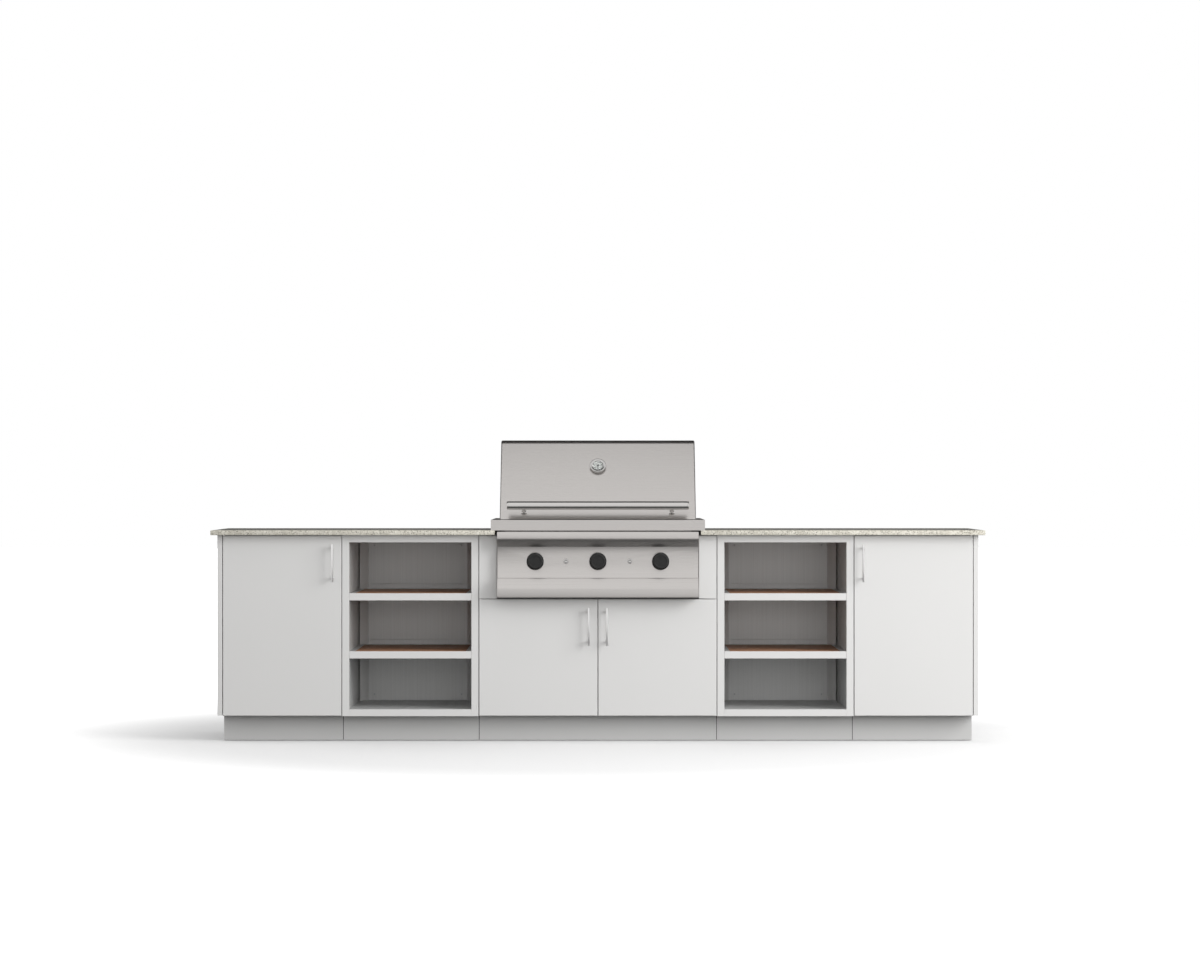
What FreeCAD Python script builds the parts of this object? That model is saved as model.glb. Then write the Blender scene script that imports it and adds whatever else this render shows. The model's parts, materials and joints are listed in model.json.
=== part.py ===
import FreeCAD, Part
import math
import os

# Outdoor kitchen island: five powder-coated cabinets under a granite counter,
# with a built-in gas grill in the middle. Sizes are in millimetres.
# While it is drawn, y = 0 is the front plane of the doors and +y runs to the back.

# Cabinet row
door_cabinet_width = 507.0
shelf_cabinet_width = 577.0
grill_cabinet_width = 1009.0
end_panel_thickness = 20.0
cabinet_seam = 1.0
cabinet_depth = 610.0
door_thickness = 19.0
door_back_gap = 2.0
base_height = 109.0
counter_underside = 876.0
sheet = 1.5
side_pan_width = 30.0
floor_pan_height = 29.0
rail_height = 31.0
rail_depth = 60.0
back_panel_depth = 28.0
back_panel_side_gap = 4.0
corner_post_width = 43.0
corner_post_height = 3.0

# Counter
counter_thickness = 20.0
counter_front_overhang = 38.0
counter_rear_overhang = 5.0
counter_end_overhang = 26.0
counter_edge_chamfer = 2.0
grill_cutout_clearance = 10.0

# Toe kicks and feet
toe_kick_setback = 76.0
toe_kick_thickness = 14.0
toe_kick_floor_gap = 3.0
toe_kick_joint_inset = 0.8
foot_inset_x = 62.0
foot_front_inset = 70.0
foot_rear_inset = 56.0
foot_pad_radius = 22.0
foot_pad_height = 10.0
foot_stem_radius = 8.0
foot_pad_sides = 8
foot_stem_sides = 6

# Doors and their pivots
door_gap = 3.0
door_edge_radius = 2.0
door_skin = 1.2
grill_door_top = 604.0
pivot_inset = 5.0
pivot_pin_radius = 2.5
pivot_pin_depth = 12.0
pivot_pin_reach = 2.6
pivot_plate_thickness = 1.8
pivot_plate_lift = 0.6
pivot_plate_half_width = 4.2
pivot_running_clearance = 0.05
press_clearance = 0.02
hinge_block_width = 16.0

# Bar pulls
pull_length = 160.0
pull_radius = 5.0
pull_post_spacing = 128.0
pull_post_radius = 4.0
pull_standoff = 32.0
pull_edge_inset = 37.0
pull_top_inset = 35.0

# Shelves
shelf_tray_height = 30.5
shelf_side_gap = 0.5
shelf_front_inset = 0.5
tray_ledge_width = 24.0
tray_front_lip = 3.0
tray_rear_margin = 20.0
tray_upstand_height = 22.0
board_thickness = 12.0
board_clearance = 0.5
inner_shelf_height = 20.0
inner_shelf_level = 480.0
inner_shelf_setback = 40.0
clip_reach = 10.0
clip_drop = 18.0
clip_length = 20.0
clip_inset = 70.0

# Grill body
steel = 2.0
rim_side_reach = 27.5
rim_front = -36.0
rim_rear_inset = 22.0
rim_rear_bearing = 24.0
rim_height = 45.0
rim_lip = 18.0
firebox_side_margin = 30.0
firebox_front_margin = 81.0
firebox_rear_margin = 49.0
firebox_wall_bottom = 700.0
firebox_floor_bottom = 668.0
firebox_flange = 8.0
firebox_rim_gap = 2.0
drain_slot_end_margin = 20.0
drain_slot_width = 60.0
ledge_width = 12.0
ledge_thickness = 3.0
tent_ledge_level = 803.0
grate_ledge_level = 879.0
drip_tray_end_margin = 95.0
drip_tray_width = 300.0
drip_tray_height = 26.0
drip_tray_level = 632.0
drip_tray_rim = 12.0
drip_tray_side_gap = 1.0

# Control panel
panel_side_margin = 79.5
panel_reach = 70.0
panel_recess = 40.0
panel_top_round_level = 868.0
panel_bottom_round_level = 655.0
panel_bottom = 608.0
panel_bottom_radius = 4.0
panel_back = 38.0
filler_side_gap = 3.0

# Knobs, valves, burners and switches
control_level = 766.0
burner_spacing = 265.0
switch_offset = 135.0
knob_radius = 34.0
knob_front_radius = 31.0
knob_depth = 28.0
knob_standoff = 5.0
knob_dish_depth = 1.5
knob_back_band = 6.0
knob_front_chamfer = 3.0
knob_rim_width = 4.0
knob_bore_cover = 6.0
knob_pointer_width = 4.0
knob_pointer_length = 6.0
bezel_radius = 38.0
bezel_bore_radius = 12.0
bezel_thickness = 3.0
stem_radius = 4.0
stem_hole_radius = 6.0
stem_reach = 12.0
stem_end_gap = 0.5
stem_running_clearance = 0.05
knob_push = 3.0
valve_width = 34.0
valve_front = -18.0
valve_back = 22.0
valve_neck_width = 18.0
nozzle_radius = 4.0
nozzle_length = 12.0
manifold_radius = 11.0
manifold_y = 6.0
manifold_level = 722.0
manifold_end_inset = 85.0
manifold_saddle_gap = 0.1
switch_radius = 6.8
switch_bezel_radius = 11.0
switch_barrel_radius = 9.0
switch_clearance = 0.2
switch_travel = 2.0
switch_proud = 5.0
switch_barrel_depth = 24.0
switch_edge = 1.0
switch_end_wall = 2.0
switch_spring_room = 3.0
burner_radius = 17.0
burner_bore_radius = 15.0
burner_mouth_radius = 22.0
burner_mouth_length = 10.0
burner_hole_clearance = 0.3
burner_end_gap = 20.0
tent_half_width = 48.0
tent_rise = 34.0
grate_count = 3
grate_gap = 2.0
tent_end_gap = 1.0
grate_thickness = 9.0
grate_border = 10.0
grate_bars = 13
grate_slot_width = 9.0

# Gas inlet pipe
inlet_pipe_radius = 9.5
inlet_nipple_radius = 10.65
inlet_nipple_length = 27.0
inlet_bend_radius = 30.0
inlet_level = 640.0
inlet_hole_clearance = 0.3

# Hood
hood_side_inset = 10.0
hood_front_foot = -20.0
hood_slope_deg = 34.0
hood_bottom_gap = 2.0
hood_height = 336.0
hood_top_front_radius = 36.0
hood_rear_chamfer_depth = 150.0
hood_rear_chamfer_height = 149.0
hood_rear_radius = 60.0
hood_rear_overhang = 12.0
hinge_axis_inset = 36.0
hinge_axis_rise = 20.0
hinge_pin_radius = 5.0
hinge_head_radius = 8.0
hinge_head_length = 3.0
hinge_ear_thickness = 4.0
hinge_ear_half_width = 9.0
hinge_ear_cap_gap = 4.0
hinge_notch_front = 20.0
hinge_notch_height = 27.0
hinge_notch_width = 16.0
hood_back_opening = 40.0
hinge_head_gap = 1.0

# Hood handle
handle_radius = 17.5
handle_end_inset = 31.0
handle_level = 1001.5
handle_standoff = 55.0
handle_post_radius = 7.0
handle_post_inset = 71.0
handle_wall = 2.5

# Thermometer
gauge_drop = 114.0
gauge_bezel_radius = 34.0
gauge_case_radius = 30.0
gauge_case_depth = 14.0
gauge_bezel_depth = 4.0
gauge_bezel_chamfer = 1.5
gauge_bore_radius = 25.0
gauge_bore_depth = 6.0
gauge_dial_thickness = 1.0
gauge_lens_thickness = 1.2
gauge_lens_sink = 0.6
gauge_fit = 0.2
gauge_needle_length = 19.0
gauge_needle_tail = 6.0
gauge_needle_width = 2.4
gauge_needle_thickness = 0.8
gauge_needle_point = 0.6
gauge_needle_gap = 0.3
gauge_hub_radius = 3.0
gauge_hub_height = 1.4
gauge_probe_radius = 4.0
gauge_probe_length = 60.0

# Warming rack
rack_end_gap = 25.0
rack_depth = 132.0
rack_level = 1040.0
rack_thickness = 6.0
rack_bars = 9
rack_slot_width = 7.0
rack_leg_width = 12.0
rack_leg_depth = 5.0
rack_leg_inset = 1.0
rack_border = 10.0

# Places worked out from the sizes above
box_front = door_thickness + door_back_gap
box_back = box_front + cabinet_depth
floor_level = base_height + floor_pan_height
rail_bottom = counter_underside - rail_height
counter_top = counter_underside + counter_thickness
counter_front = -counter_front_overhang
counter_back = box_back + counter_rear_overhang
grill_x = grill_cabinet_width / 2
shelf_x0 = grill_x + cabinet_seam
shelf_x1 = shelf_x0 + shelf_cabinet_width
door_x0 = shelf_x1 + cabinet_seam
door_x1 = door_x0 + door_cabinet_width
row_end = door_x1 + end_panel_thickness
panel_half_width = grill_x - panel_side_margin
grill_cutout_half_width = panel_half_width + grill_cutout_clearance
rim_half_width = panel_half_width + rim_side_reach
firebox_half_width = panel_half_width - firebox_side_margin
drip_tray_length = 2 * (firebox_half_width - drip_tray_end_margin)
drain_slot_length = drip_tray_length - 2 * drain_slot_end_margin
manifold_half_length = panel_half_width - manifold_end_inset
hood_half_width = panel_half_width - hood_side_inset
handle_length = 2 * (hood_half_width - handle_end_inset)
handle_post_spacing = handle_length - 2 * handle_post_inset
rack_half_length = firebox_half_width - rack_end_gap
rim_top = counter_top + rim_height
rim_back = counter_back - rim_rear_inset
firebox_front = rim_front + firebox_front_margin
firebox_back = rim_back - firebox_rear_margin
back_panel_front = box_back - sheet - back_panel_depth
hood_bottom = rim_top + hood_bottom_gap
hood_top = hood_bottom + hood_height
hinge_axis_y = rim_back - hinge_axis_inset
hinge_axis_z = hood_bottom + hinge_axis_rise
hood_back = hinge_axis_y + hood_rear_overhang
gauge_level = hood_top - gauge_drop
knob_panel_y = -panel_reach + panel_recess
burner_places = [-burner_spacing, 0.0, burner_spacing]
switch_places = [-switch_offset, switch_offset]
slope = math.radians(hood_slope_deg)
hood_normal = FreeCAD.Vector(0, -math.cos(slope), math.sin(slope))
bay_height = (rail_bottom - floor_level - 2 * shelf_tray_height) / 3
tray_levels = [floor_level + bay_height, floor_level + 2 * bay_height + shelf_tray_height]
middle_y = (-panel_reach + counter_back) / 2

# The row's frame puts the origin on the ground under the middle of the whole island.
to_row_frame = FreeCAD.Vector(0, -middle_y, 0)


def vec(x, y, z):
    return FreeCAD.Vector(x, y, z)


def box(x0, x1, y0, y1, z0, z1):
    return Part.makeBox(x1 - x0, y1 - y0, z1 - z0, vec(x0, y0, z0))


def rod(radius, start, end):
    along = end.sub(start)
    return Part.makeCylinder(radius, along.Length, start, along)


def mirrored(shape):
    return shape.mirror(vec(0, 0, 0), vec(1, 0, 0))


def both_sides(shape):
    return [shape, mirrored(shape)]


def same(a, b):
    return abs(a - b) < 0.01


def fused(shapes):
    return shapes[0].multiFuse(shapes[1:]).removeSplitter()


def save(node, shapes):
    solids = shapes if isinstance(shapes, list) else [shapes]
    moved = [solid.translated(to_row_frame) for solid in solids]
    shape = moved[0] if len(moved) == 1 else Part.makeCompound(moved)
    shape.exportStep("parts/" + node + ".step")


def rounded_outline(corners):
    # Closed outline in the y-z plane from corners (y, z, radius of the rounding).
    points = [vec(0, y, z) for y, z, _ in corners]
    edges = []
    starts = []
    ends = []
    arcs = []
    for i, (_, _, radius) in enumerate(corners):
        here = points[i]
        back = points[i - 1].sub(here)
        ahead = points[(i + 1) % len(points)].sub(here)
        if radius == 0:
            starts.append(here)
            ends.append(here)
            arcs.append(None)
            continue
        back.normalize()
        ahead.normalize()
        half = back.getAngle(ahead) / 2
        reach = radius / math.tan(half)
        inward = back.add(ahead)
        inward.normalize()
        middle = here.add(inward * (radius / math.sin(half) - radius))
        starts.append(here.add(back * reach))
        ends.append(here.add(ahead * reach))
        arcs.append(middle)
    for i in range(len(points)):
        if arcs[i] is not None:
            edges.append(Part.Arc(starts[i], arcs[i], ends[i]).toShape())
        following = starts[(i + 1) % len(points)]
        edges.append(Part.LineSegment(ends[i], following).toShape())
    return Part.Wire(edges)


def prism(wire, x0, x1):
    face = Part.Face(wire)
    face.translate(vec(x0, 0, 0))
    return face.extrude(vec(x1 - x0, 0, 0))


def shrunk(wire, wall):
    return wire.makeOffset2D(-wall)


# Cabinets

def side_pan(inner_x, outward, y0):
    # Folded side: a skin on the inner face and returns out to the neighbour.
    outer_x = inner_x + outward * side_pan_width
    skin_x = inner_x + outward * sheet
    x0, x1 = sorted((inner_x, outer_x))
    hollow_x0, hollow_x1 = sorted((skin_x, outer_x + outward))
    pan = box(x0, x1, y0, box_back, base_height, counter_underside)
    hollow = box(hollow_x0, hollow_x1, y0 + sheet, box_back - sheet,
                 base_height + sheet, counter_underside - sheet)
    return pan.cut(hollow)


def cabinet_sides(x0, x1, y0):
    return [side_pan(x0 + side_pan_width, -1, y0), side_pan(x1 - side_pan_width, 1, y0)]


def down_pan(x0, x1, y0, y1, z0, z1):
    # Pan with its skin on top and its hollow below.
    return box(x0, x1, y0, y1, z0, z1).cut(
        box(x0 + sheet, x1 - sheet, y0 + sheet, y1 - sheet, z0 - 1, z1 - sheet))


def up_pan(x0, x1, y0, y1, z0, z1):
    # Pan with its skin below and its hollow on top.
    return box(x0, x1, y0, y1, z0, z1).cut(
        box(x0 + sheet, x1 - sheet, y0 + sheet, y1 - sheet, z0 + sheet, z1 + 1))


def cabinet_floor(x0, x1, y0):
    return down_pan(x0 + side_pan_width, x1 - side_pan_width, y0, box_back,
                    base_height, floor_level)


def top_rail(x0, x1, y0, y1):
    return up_pan(x0 + side_pan_width, x1 - side_pan_width, y0, y1,
                  rail_bottom, counter_underside)


def back_panel(x0, x1):
    # Flanged back: a raised corner post along each upright edge, a dark groove beside it, and
    # a rear flange that closes the groove against the cabinet side.
    left = x0 + side_pan_width + back_panel_side_gap
    right = x1 - side_pan_width - back_panel_side_gap
    rear = back_panel_front + back_panel_depth
    panel = box(left, right, back_panel_front, rear, floor_level, rail_bottom)
    flange = box(left - back_panel_side_gap, right + back_panel_side_gap, rear - sheet, rear,
                 floor_level, rail_bottom)
    hollow = box(left + sheet, right - sheet, back_panel_front + sheet, rear + 1,
                 floor_level + sheet, rail_bottom - sheet)
    post_front = back_panel_front - corner_post_height
    posts = [box(left, left + corner_post_width, post_front, back_panel_front,
                 floor_level, rail_bottom),
             box(right - corner_post_width, right, post_front, back_panel_front,
                 floor_level, rail_bottom)]
    return fused([panel, flange] + posts).cut(hollow)


def shelf_clip(side_x, inward, y, level):
    # Angle clip on a cabinet side; the shelf rests on its flat top.
    x0, x1 = sorted((side_x, side_x + inward * clip_reach))
    leaf0, leaf1 = sorted((side_x, side_x + inward * sheet))
    shelf_leaf = box(x0, x1, y, y + clip_length, level - sheet, level)
    wall_leaf = box(leaf0, leaf1, y, y + clip_length, level - clip_drop, level)
    return fused([shelf_leaf, wall_leaf])


def clips_under(x0, x1, y0, level):
    left = x0 + side_pan_width
    right = x1 - side_pan_width
    fronts = [y0 + clip_inset, back_panel_front - clip_inset - clip_length]
    return [shelf_clip(x, inward, y, level)
            for x, inward in ((left, 1), (right, -1)) for y in fronts]


def shelf_tray(x0, x1, level):
    # Metal tray with a recess for the wood board and an upstand along its back.
    left = x0 + side_pan_width + shelf_side_gap
    right = x1 - side_pan_width - shelf_side_gap
    front = shelf_front_inset
    rear = back_panel_front - corner_post_height - shelf_side_gap
    top = level + shelf_tray_height
    recess_floor = top - board_thickness
    tray = box(left, right, front, rear, level, top)
    recess = box(left + tray_ledge_width, right - tray_ledge_width, front + tray_front_lip,
                 rear - tray_rear_margin, recess_floor, top + 1)
    underside = box(left + sheet, right - sheet, front + sheet, rear - sheet,
                    level - 1, recess_floor - sheet)
    ledge_hollows = [box(left + sheet, left + tray_ledge_width - sheet, front + sheet,
                         rear - sheet, level, top - sheet),
                     box(right - tray_ledge_width + sheet, right - sheet, front + sheet,
                         rear - sheet, level, top - sheet)]
    upstand = box(left + tray_ledge_width, right - tray_ledge_width, rear - sheet, rear,
                  top, top + tray_upstand_height)
    return tray.cut([recess, underside] + ledge_hollows).fuse(upstand).removeSplitter()


def shelf_board(x0, x1, level):
    left = x0 + side_pan_width + shelf_side_gap + tray_ledge_width + board_clearance
    right = x1 - side_pan_width - shelf_side_gap - tray_ledge_width - board_clearance
    front = shelf_front_inset + tray_front_lip + board_clearance
    rear = back_panel_front - corner_post_height - shelf_side_gap - tray_rear_margin
    top = level + shelf_tray_height
    return box(left, right, front, rear - board_clearance, top - board_thickness, top)


def inner_shelf(x0, x1):
    return down_pan(x0 + side_pan_width + shelf_side_gap, x1 - side_pan_width - shelf_side_gap,
                    box_front + inner_shelf_setback,
                    back_panel_front - corner_post_height - shelf_side_gap,
                    inner_shelf_level, inner_shelf_level + inner_shelf_height)


def build_cabinets():
    door_sides = cabinet_sides(door_x0, door_x1, box_front)
    shelf_sides = cabinet_sides(shelf_x0, shelf_x1, 0)
    save("door_cabinet_sides", door_sides + [mirrored(s) for s in door_sides])
    save("shelf_cabinet_sides", shelf_sides + [mirrored(s) for s in shelf_sides])
    save("grill_cabinet_sides", cabinet_sides(-grill_x, grill_x, box_front))
    save("cabinet_floors", both_sides(cabinet_floor(door_x0, door_x1, box_front))
         + both_sides(cabinet_floor(shelf_x0, shelf_x1, 0))
         + [cabinet_floor(-grill_x, grill_x, box_front)])
    inlet_x = -manifold_half_length - inlet_bend_radius
    inlet_hole = rod(inlet_pipe_radius + inlet_hole_clearance, vec(inlet_x, 0, inlet_level),
                     vec(inlet_x, box_back, inlet_level))
    save("cabinet_backs", both_sides(back_panel(door_x0, door_x1))
         + both_sides(back_panel(shelf_x0, shelf_x1))
         + [back_panel(-grill_x, grill_x).cut(inlet_hole)])
    front_rail = top_rail(door_x0, door_x1, box_front, box_front + rail_depth)
    rear_rail = top_rail(door_x0, door_x1, box_back - rail_depth, box_back)
    save("cabinet_rails", both_sides(front_rail) + both_sides(rear_rail) + grill_cabinet_rails())
    save("shelf_cabinet_tops", both_sides(top_rail(shelf_x0, shelf_x1, 0, box_back)))
    save("inner_shelves", both_sides(inner_shelf(door_x0, door_x1)))
    trays = [shelf_tray(shelf_x0, shelf_x1, level) for level in tray_levels]
    boards = [shelf_board(shelf_x0, shelf_x1, level) for level in tray_levels]
    save("shelf_trays", trays + [mirrored(s) for s in trays])
    save("shelf_boards", boards + [mirrored(s) for s in boards])
    clips = clips_under(door_x0, door_x1, box_front, inner_shelf_level)
    for level in tray_levels:
        clips += clips_under(shelf_x0, shelf_x1, 0, level)
    save("shelf_clips", clips + [mirrored(s) for s in clips])
    end_panel = box(door_x1, row_end, 0, box_back, base_height + door_gap, counter_underside)
    save("end_panels", both_sides(end_panel))


def grill_cabinet_rails():
    # One rail under the counter's rear strip, and one across behind the doors' top edge.
    rear_rail = top_rail(-grill_x, grill_x, back_panel_front - corner_post_height, box_back)
    cross_rail = down_pan(-grill_x + side_pan_width, grill_x - side_pan_width,
                          box_front, box_front + rail_height,
                          grill_door_top - rail_height, grill_door_top)
    return [rear_rail, cross_rail]


def build_filler_panels():
    inner = panel_half_width + filler_side_gap
    outer = grill_x - (door_gap - cabinet_seam)
    skin = box(inner, outer, 0, box_front, grill_door_top + door_gap,
               counter_underside - door_gap)
    hollow = box(inner + sheet, outer - sheet, sheet, box_front + 1,
                 grill_door_top + door_gap + sheet, counter_underside - door_gap - sheet)
    save("grill_filler_panels", both_sides(skin.cut(hollow)))


# Base

def toe_kick(x0, x1):
    front = toe_kick_setback
    rear = front + toe_kick_thickness
    board = box(x0, x1, front, rear, toe_kick_floor_gap, base_height)
    hollow = box(x0 + sheet, x1 - sheet, front + sheet, rear + 1,
                 toe_kick_floor_gap + sheet, base_height - sheet)
    return board.cut(hollow)


def toe_kick_return():
    rear = box_back - toe_kick_thickness
    front = toe_kick_setback + toe_kick_thickness
    outer = door_x1
    inner = outer - toe_kick_thickness
    board = box(inner, outer, front, rear, toe_kick_floor_gap, base_height)
    hollow = box(inner - 1, outer - sheet, front + sheet, rear - sheet,
                 toe_kick_floor_gap + sheet, base_height - sheet)
    return board.cut(hollow)


def flat_sided_bar(sides, radius, x, y, z0, z1):
    turn = 2 * math.pi / sides
    points = [vec(x + radius * math.cos(i * turn), y + radius * math.sin(i * turn), z0)
              for i in range(sides)]
    return Part.Face(Part.makePolygon(points + points[:1])).extrude(vec(0, 0, z1 - z0))


def levelling_foot(x, y):
    # Wrench-flat pad and hexagon stem up to the underside of the floor pan.
    pad = flat_sided_bar(foot_pad_sides, foot_pad_radius, x, y, 0, foot_pad_height)
    stem = flat_sided_bar(foot_stem_sides, foot_stem_radius, x, y, foot_pad_height,
                          floor_level - sheet)
    return pad.fuse(stem)


def build_base():
    inset = toe_kick_joint_inset
    kicks = [toe_kick(-grill_x + inset, grill_x - inset)]
    for x0, x1 in ((shelf_x0 + inset, shelf_x1 - inset), (door_x0 + inset, door_x1)):
        kicks += both_sides(toe_kick(x0, x1))
    kicks += both_sides(toe_kick_return())
    save("toe_kicks", kicks)
    feet = []
    front_y = toe_kick_setback + foot_front_inset
    rear_y = box_back - foot_rear_inset
    for y in (front_y, rear_y):
        feet += both_sides(levelling_foot(grill_x - foot_inset_x, y))
        for x0, x1 in ((shelf_x0, shelf_x1), (door_x0, door_x1)):
            feet += both_sides(levelling_foot(x0 + foot_inset_x, y))
            feet += both_sides(levelling_foot(x1 - foot_inset_x, y))
    save("levelling_feet", feet)


# Counter

def slab(x0, x1, y0, y1):
    stone = box(x0, x1, y0, y1, counter_underside, counter_top)
    middle_x = (x0 + x1) / 2
    front_edges = [e for e in stone.Edges
                   if same(e.CenterOfMass.y, y0) and same(e.CenterOfMass.x, middle_x)]
    return stone.makeChamfer(counter_edge_chamfer, front_edges)


def build_counter():
    end = row_end + counter_end_overhang
    right = slab(grill_cutout_half_width, end, counter_front, counter_back)
    save("counter_right", right)
    save("counter_left", mirrored(right))
    save("counter_rear", box(-grill_cutout_half_width, grill_cutout_half_width,
                             rim_back - rim_rear_bearing, counter_back,
                             counter_underside, counter_top))


# Doors. Each door turns on two pins, in plates welded to the cabinet's front.

def door_panel(x0, x1, z0, z1, hinge_at_left):
    slab_body = box(x0, x1, 0, door_thickness, z0, z1)
    front_uprights = [e for e in slab_body.Edges
                      if same(e.CenterOfMass.y, 0) and same(e.Length, z1 - z0)]
    body = slab_body.makeFillet(door_edge_radius, front_uprights)
    left_wall = hinge_block_width if hinge_at_left else door_skin
    right_wall = door_skin if hinge_at_left else hinge_block_width
    hollow = box(x0 + left_wall, x1 - right_wall, door_edge_radius, door_thickness - door_skin,
                 z0 + hinge_block_width, z1 - hinge_block_width)
    body = body.cut(hollow)
    pin_x = x0 + pivot_inset if hinge_at_left else x1 - pivot_inset
    bore = pivot_pin_radius + press_clearance
    bores = [rod(bore, vec(pin_x, pivot_inset, z0), vec(pin_x, pivot_inset, z0 + pivot_pin_depth)),
             rod(bore, vec(pin_x, pivot_inset, z1 - pivot_pin_depth), vec(pin_x, pivot_inset, z1))]
    return body.cut(bores)


def pivot_pins(x, z0, z1):
    return [rod(pivot_pin_radius, vec(x, pivot_inset, z0 - pivot_pin_reach),
                vec(x, pivot_inset, z0 + pivot_pin_depth)),
            rod(pivot_pin_radius, vec(x, pivot_inset, z1 - pivot_pin_depth),
                vec(x, pivot_inset, z1 + pivot_pin_reach))]


def pivot_plate(x, z):
    # Tongue round the pin, butted against the cabinet's front.
    tongue = box(x - pivot_plate_half_width, x + pivot_plate_half_width,
                 pivot_inset - pivot_plate_half_width, box_front, z, z + pivot_plate_thickness)
    hole = rod(pivot_pin_radius + pivot_running_clearance, vec(x, pivot_inset, z - 1),
               vec(x, pivot_inset, z + pivot_plate_thickness + 1))
    return tongue.cut(hole)


def bar_pull(x, z_top):
    # Round bar on two posts.
    y = -pull_standoff
    middle = z_top - pull_length / 2
    bar = rod(pull_radius, vec(x, y, z_top - pull_length), vec(x, y, z_top))
    posts = [rod(pull_post_radius, vec(x, 0, middle + s * pull_post_spacing / 2),
                 vec(x, y, middle + s * pull_post_spacing / 2)) for s in (-1, 1)]
    return fused([bar] + posts)


def build_doors():
    tall_z0 = base_height + door_gap
    tall_z1 = counter_underside - door_gap
    tall_hinge_edge = door_x1 - door_gap
    tall_free_edge = door_x0 + door_gap - cabinet_seam
    grill_hinge_edge = grill_x - (door_gap - cabinet_seam)
    grill_free_edge = door_gap / 2
    plates = []
    for x0, x1, z0, z1, right_name, left_name in (
            (tall_free_edge, tall_hinge_edge, tall_z0, tall_z1, "right_door", "left_door"),
            (grill_free_edge, grill_hinge_edge, tall_z0, grill_door_top,
             "grill_door_right", "grill_door_left")):
        door = door_panel(x0, x1, z0, z1, False)
        pins = pivot_pins(x1 - pivot_inset, z0, z1)
        pull = bar_pull(x0 + pull_edge_inset, z1 - pull_top_inset)
        save(right_name, door)
        save(right_name + "_pins", pins)
        save(right_name + "_pull", pull)
        save(left_name, mirrored(door))
        save(left_name + "_pins", [mirrored(p) for p in pins])
        save(left_name + "_pull", mirrored(pull))
        for z in (z0 - pivot_plate_lift - pivot_plate_thickness, z1 + pivot_plate_lift):
            plates += both_sides(pivot_plate(x1 - pivot_inset, z))
    save("pivot_plates", plates)


# Grill body

def build_rim():
    # Trim frame that hangs the grill on the counter: skirt, top and inner lip.
    inner_x = firebox_half_width + firebox_rim_gap
    inner_y0 = firebox_front - firebox_rim_gap
    inner_y1 = firebox_back + firebox_rim_gap
    outer = box(-rim_half_width, rim_half_width, rim_front, rim_back, counter_top, rim_top)
    top_edges = [e for e in outer.Edges if same(e.CenterOfMass.z, rim_top)]
    outer = outer.makeFillet(steel, top_edges)
    hollow = box(-rim_half_width + steel, rim_half_width - steel, rim_front + steel,
                 rim_back - steel, counter_top - 1, rim_top - steel)
    lip = box(-inner_x - steel, inner_x + steel, inner_y0 - steel, inner_y1 + steel,
              rim_top - rim_lip, rim_top)
    opening = box(-inner_x, inner_x, inner_y0, inner_y1, counter_top - 1, rim_top + 1)
    frame = outer.cut(hollow).fuse(lip).cut(opening)
    save("grill_rim", fused([frame] + both_sides(hinge_ear())))


def hinge_ear():
    # Upright ear for the hood's hinge pin, welded on top of the rim.
    x1 = hood_half_width - steel - hinge_ear_cap_gap
    x0 = x1 - hinge_ear_thickness
    ear = box(x0, x1, hinge_axis_y - hinge_ear_half_width, hinge_axis_y + hinge_ear_half_width,
              rim_top - steel, hinge_axis_z)
    crown = rod(hinge_ear_half_width, vec(x0, hinge_axis_y, hinge_axis_z),
                vec(x1, hinge_axis_y, hinge_axis_z))
    bore = rod(hinge_pin_radius + pivot_running_clearance, vec(x0 - 1, hinge_axis_y, hinge_axis_z),
               vec(x1 + 1, hinge_axis_y, hinge_axis_z))
    return fused([ear, crown]).cut(bore)


def build_firebox():
    # Deep stainless box, open on top, with a floor that falls to a drain slot.
    middle = (firebox_front + firebox_back) / 2
    top = rim_top + steel
    half_slot = drain_slot_width / 2

    def side_profile(inset):
        y0 = firebox_front + inset
        y1 = firebox_back - inset
        return [vec(0, y0, top), vec(0, y0, firebox_wall_bottom + inset),
                vec(0, middle - half_slot, firebox_floor_bottom + inset),
                vec(0, middle + half_slot, firebox_floor_bottom + inset),
                vec(0, y1, firebox_wall_bottom + inset), vec(0, y1, top)]

    def block(inset, reach):
        points = side_profile(inset)
        wire = Part.makePolygon(points + points[:1])
        solid = prism(wire, -reach, reach)
        return solid

    shell = block(0, firebox_half_width).cut(block(steel, firebox_half_width - steel))
    wide = firebox_half_width + firebox_flange
    flange = box(-wide, wide, firebox_front - firebox_flange, firebox_back + firebox_flange,
                 rim_top, top)
    mouth = box(-firebox_half_width + steel, firebox_half_width - steel,
                firebox_front + steel, firebox_back - steel, rim_top - 1, top + 1)
    drain = box(-drain_slot_length / 2, drain_slot_length / 2, middle - half_slot + steel,
                middle + half_slot - steel, firebox_floor_bottom - 1,
                firebox_floor_bottom + steel + 1)
    inner_x = firebox_half_width - steel
    ledges = []
    for level in (tent_ledge_level, grate_ledge_level):
        for y0 in (firebox_front + steel, firebox_back - steel - ledge_width):
            ledges.append(box(-inner_x, inner_x, y0, y0 + ledge_width,
                              level - ledge_thickness, level))
    holes = [rod(burner_radius + burner_hole_clearance, vec(x, firebox_front - 1, control_level),
                 vec(x, firebox_front + steel + 1, control_level)) for x in burner_places]
    body = fused([shell, flange.cut(mouth)] + ledges + drip_tray_runners())
    save("firebox", body.cut(holes + [drain]))


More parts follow.
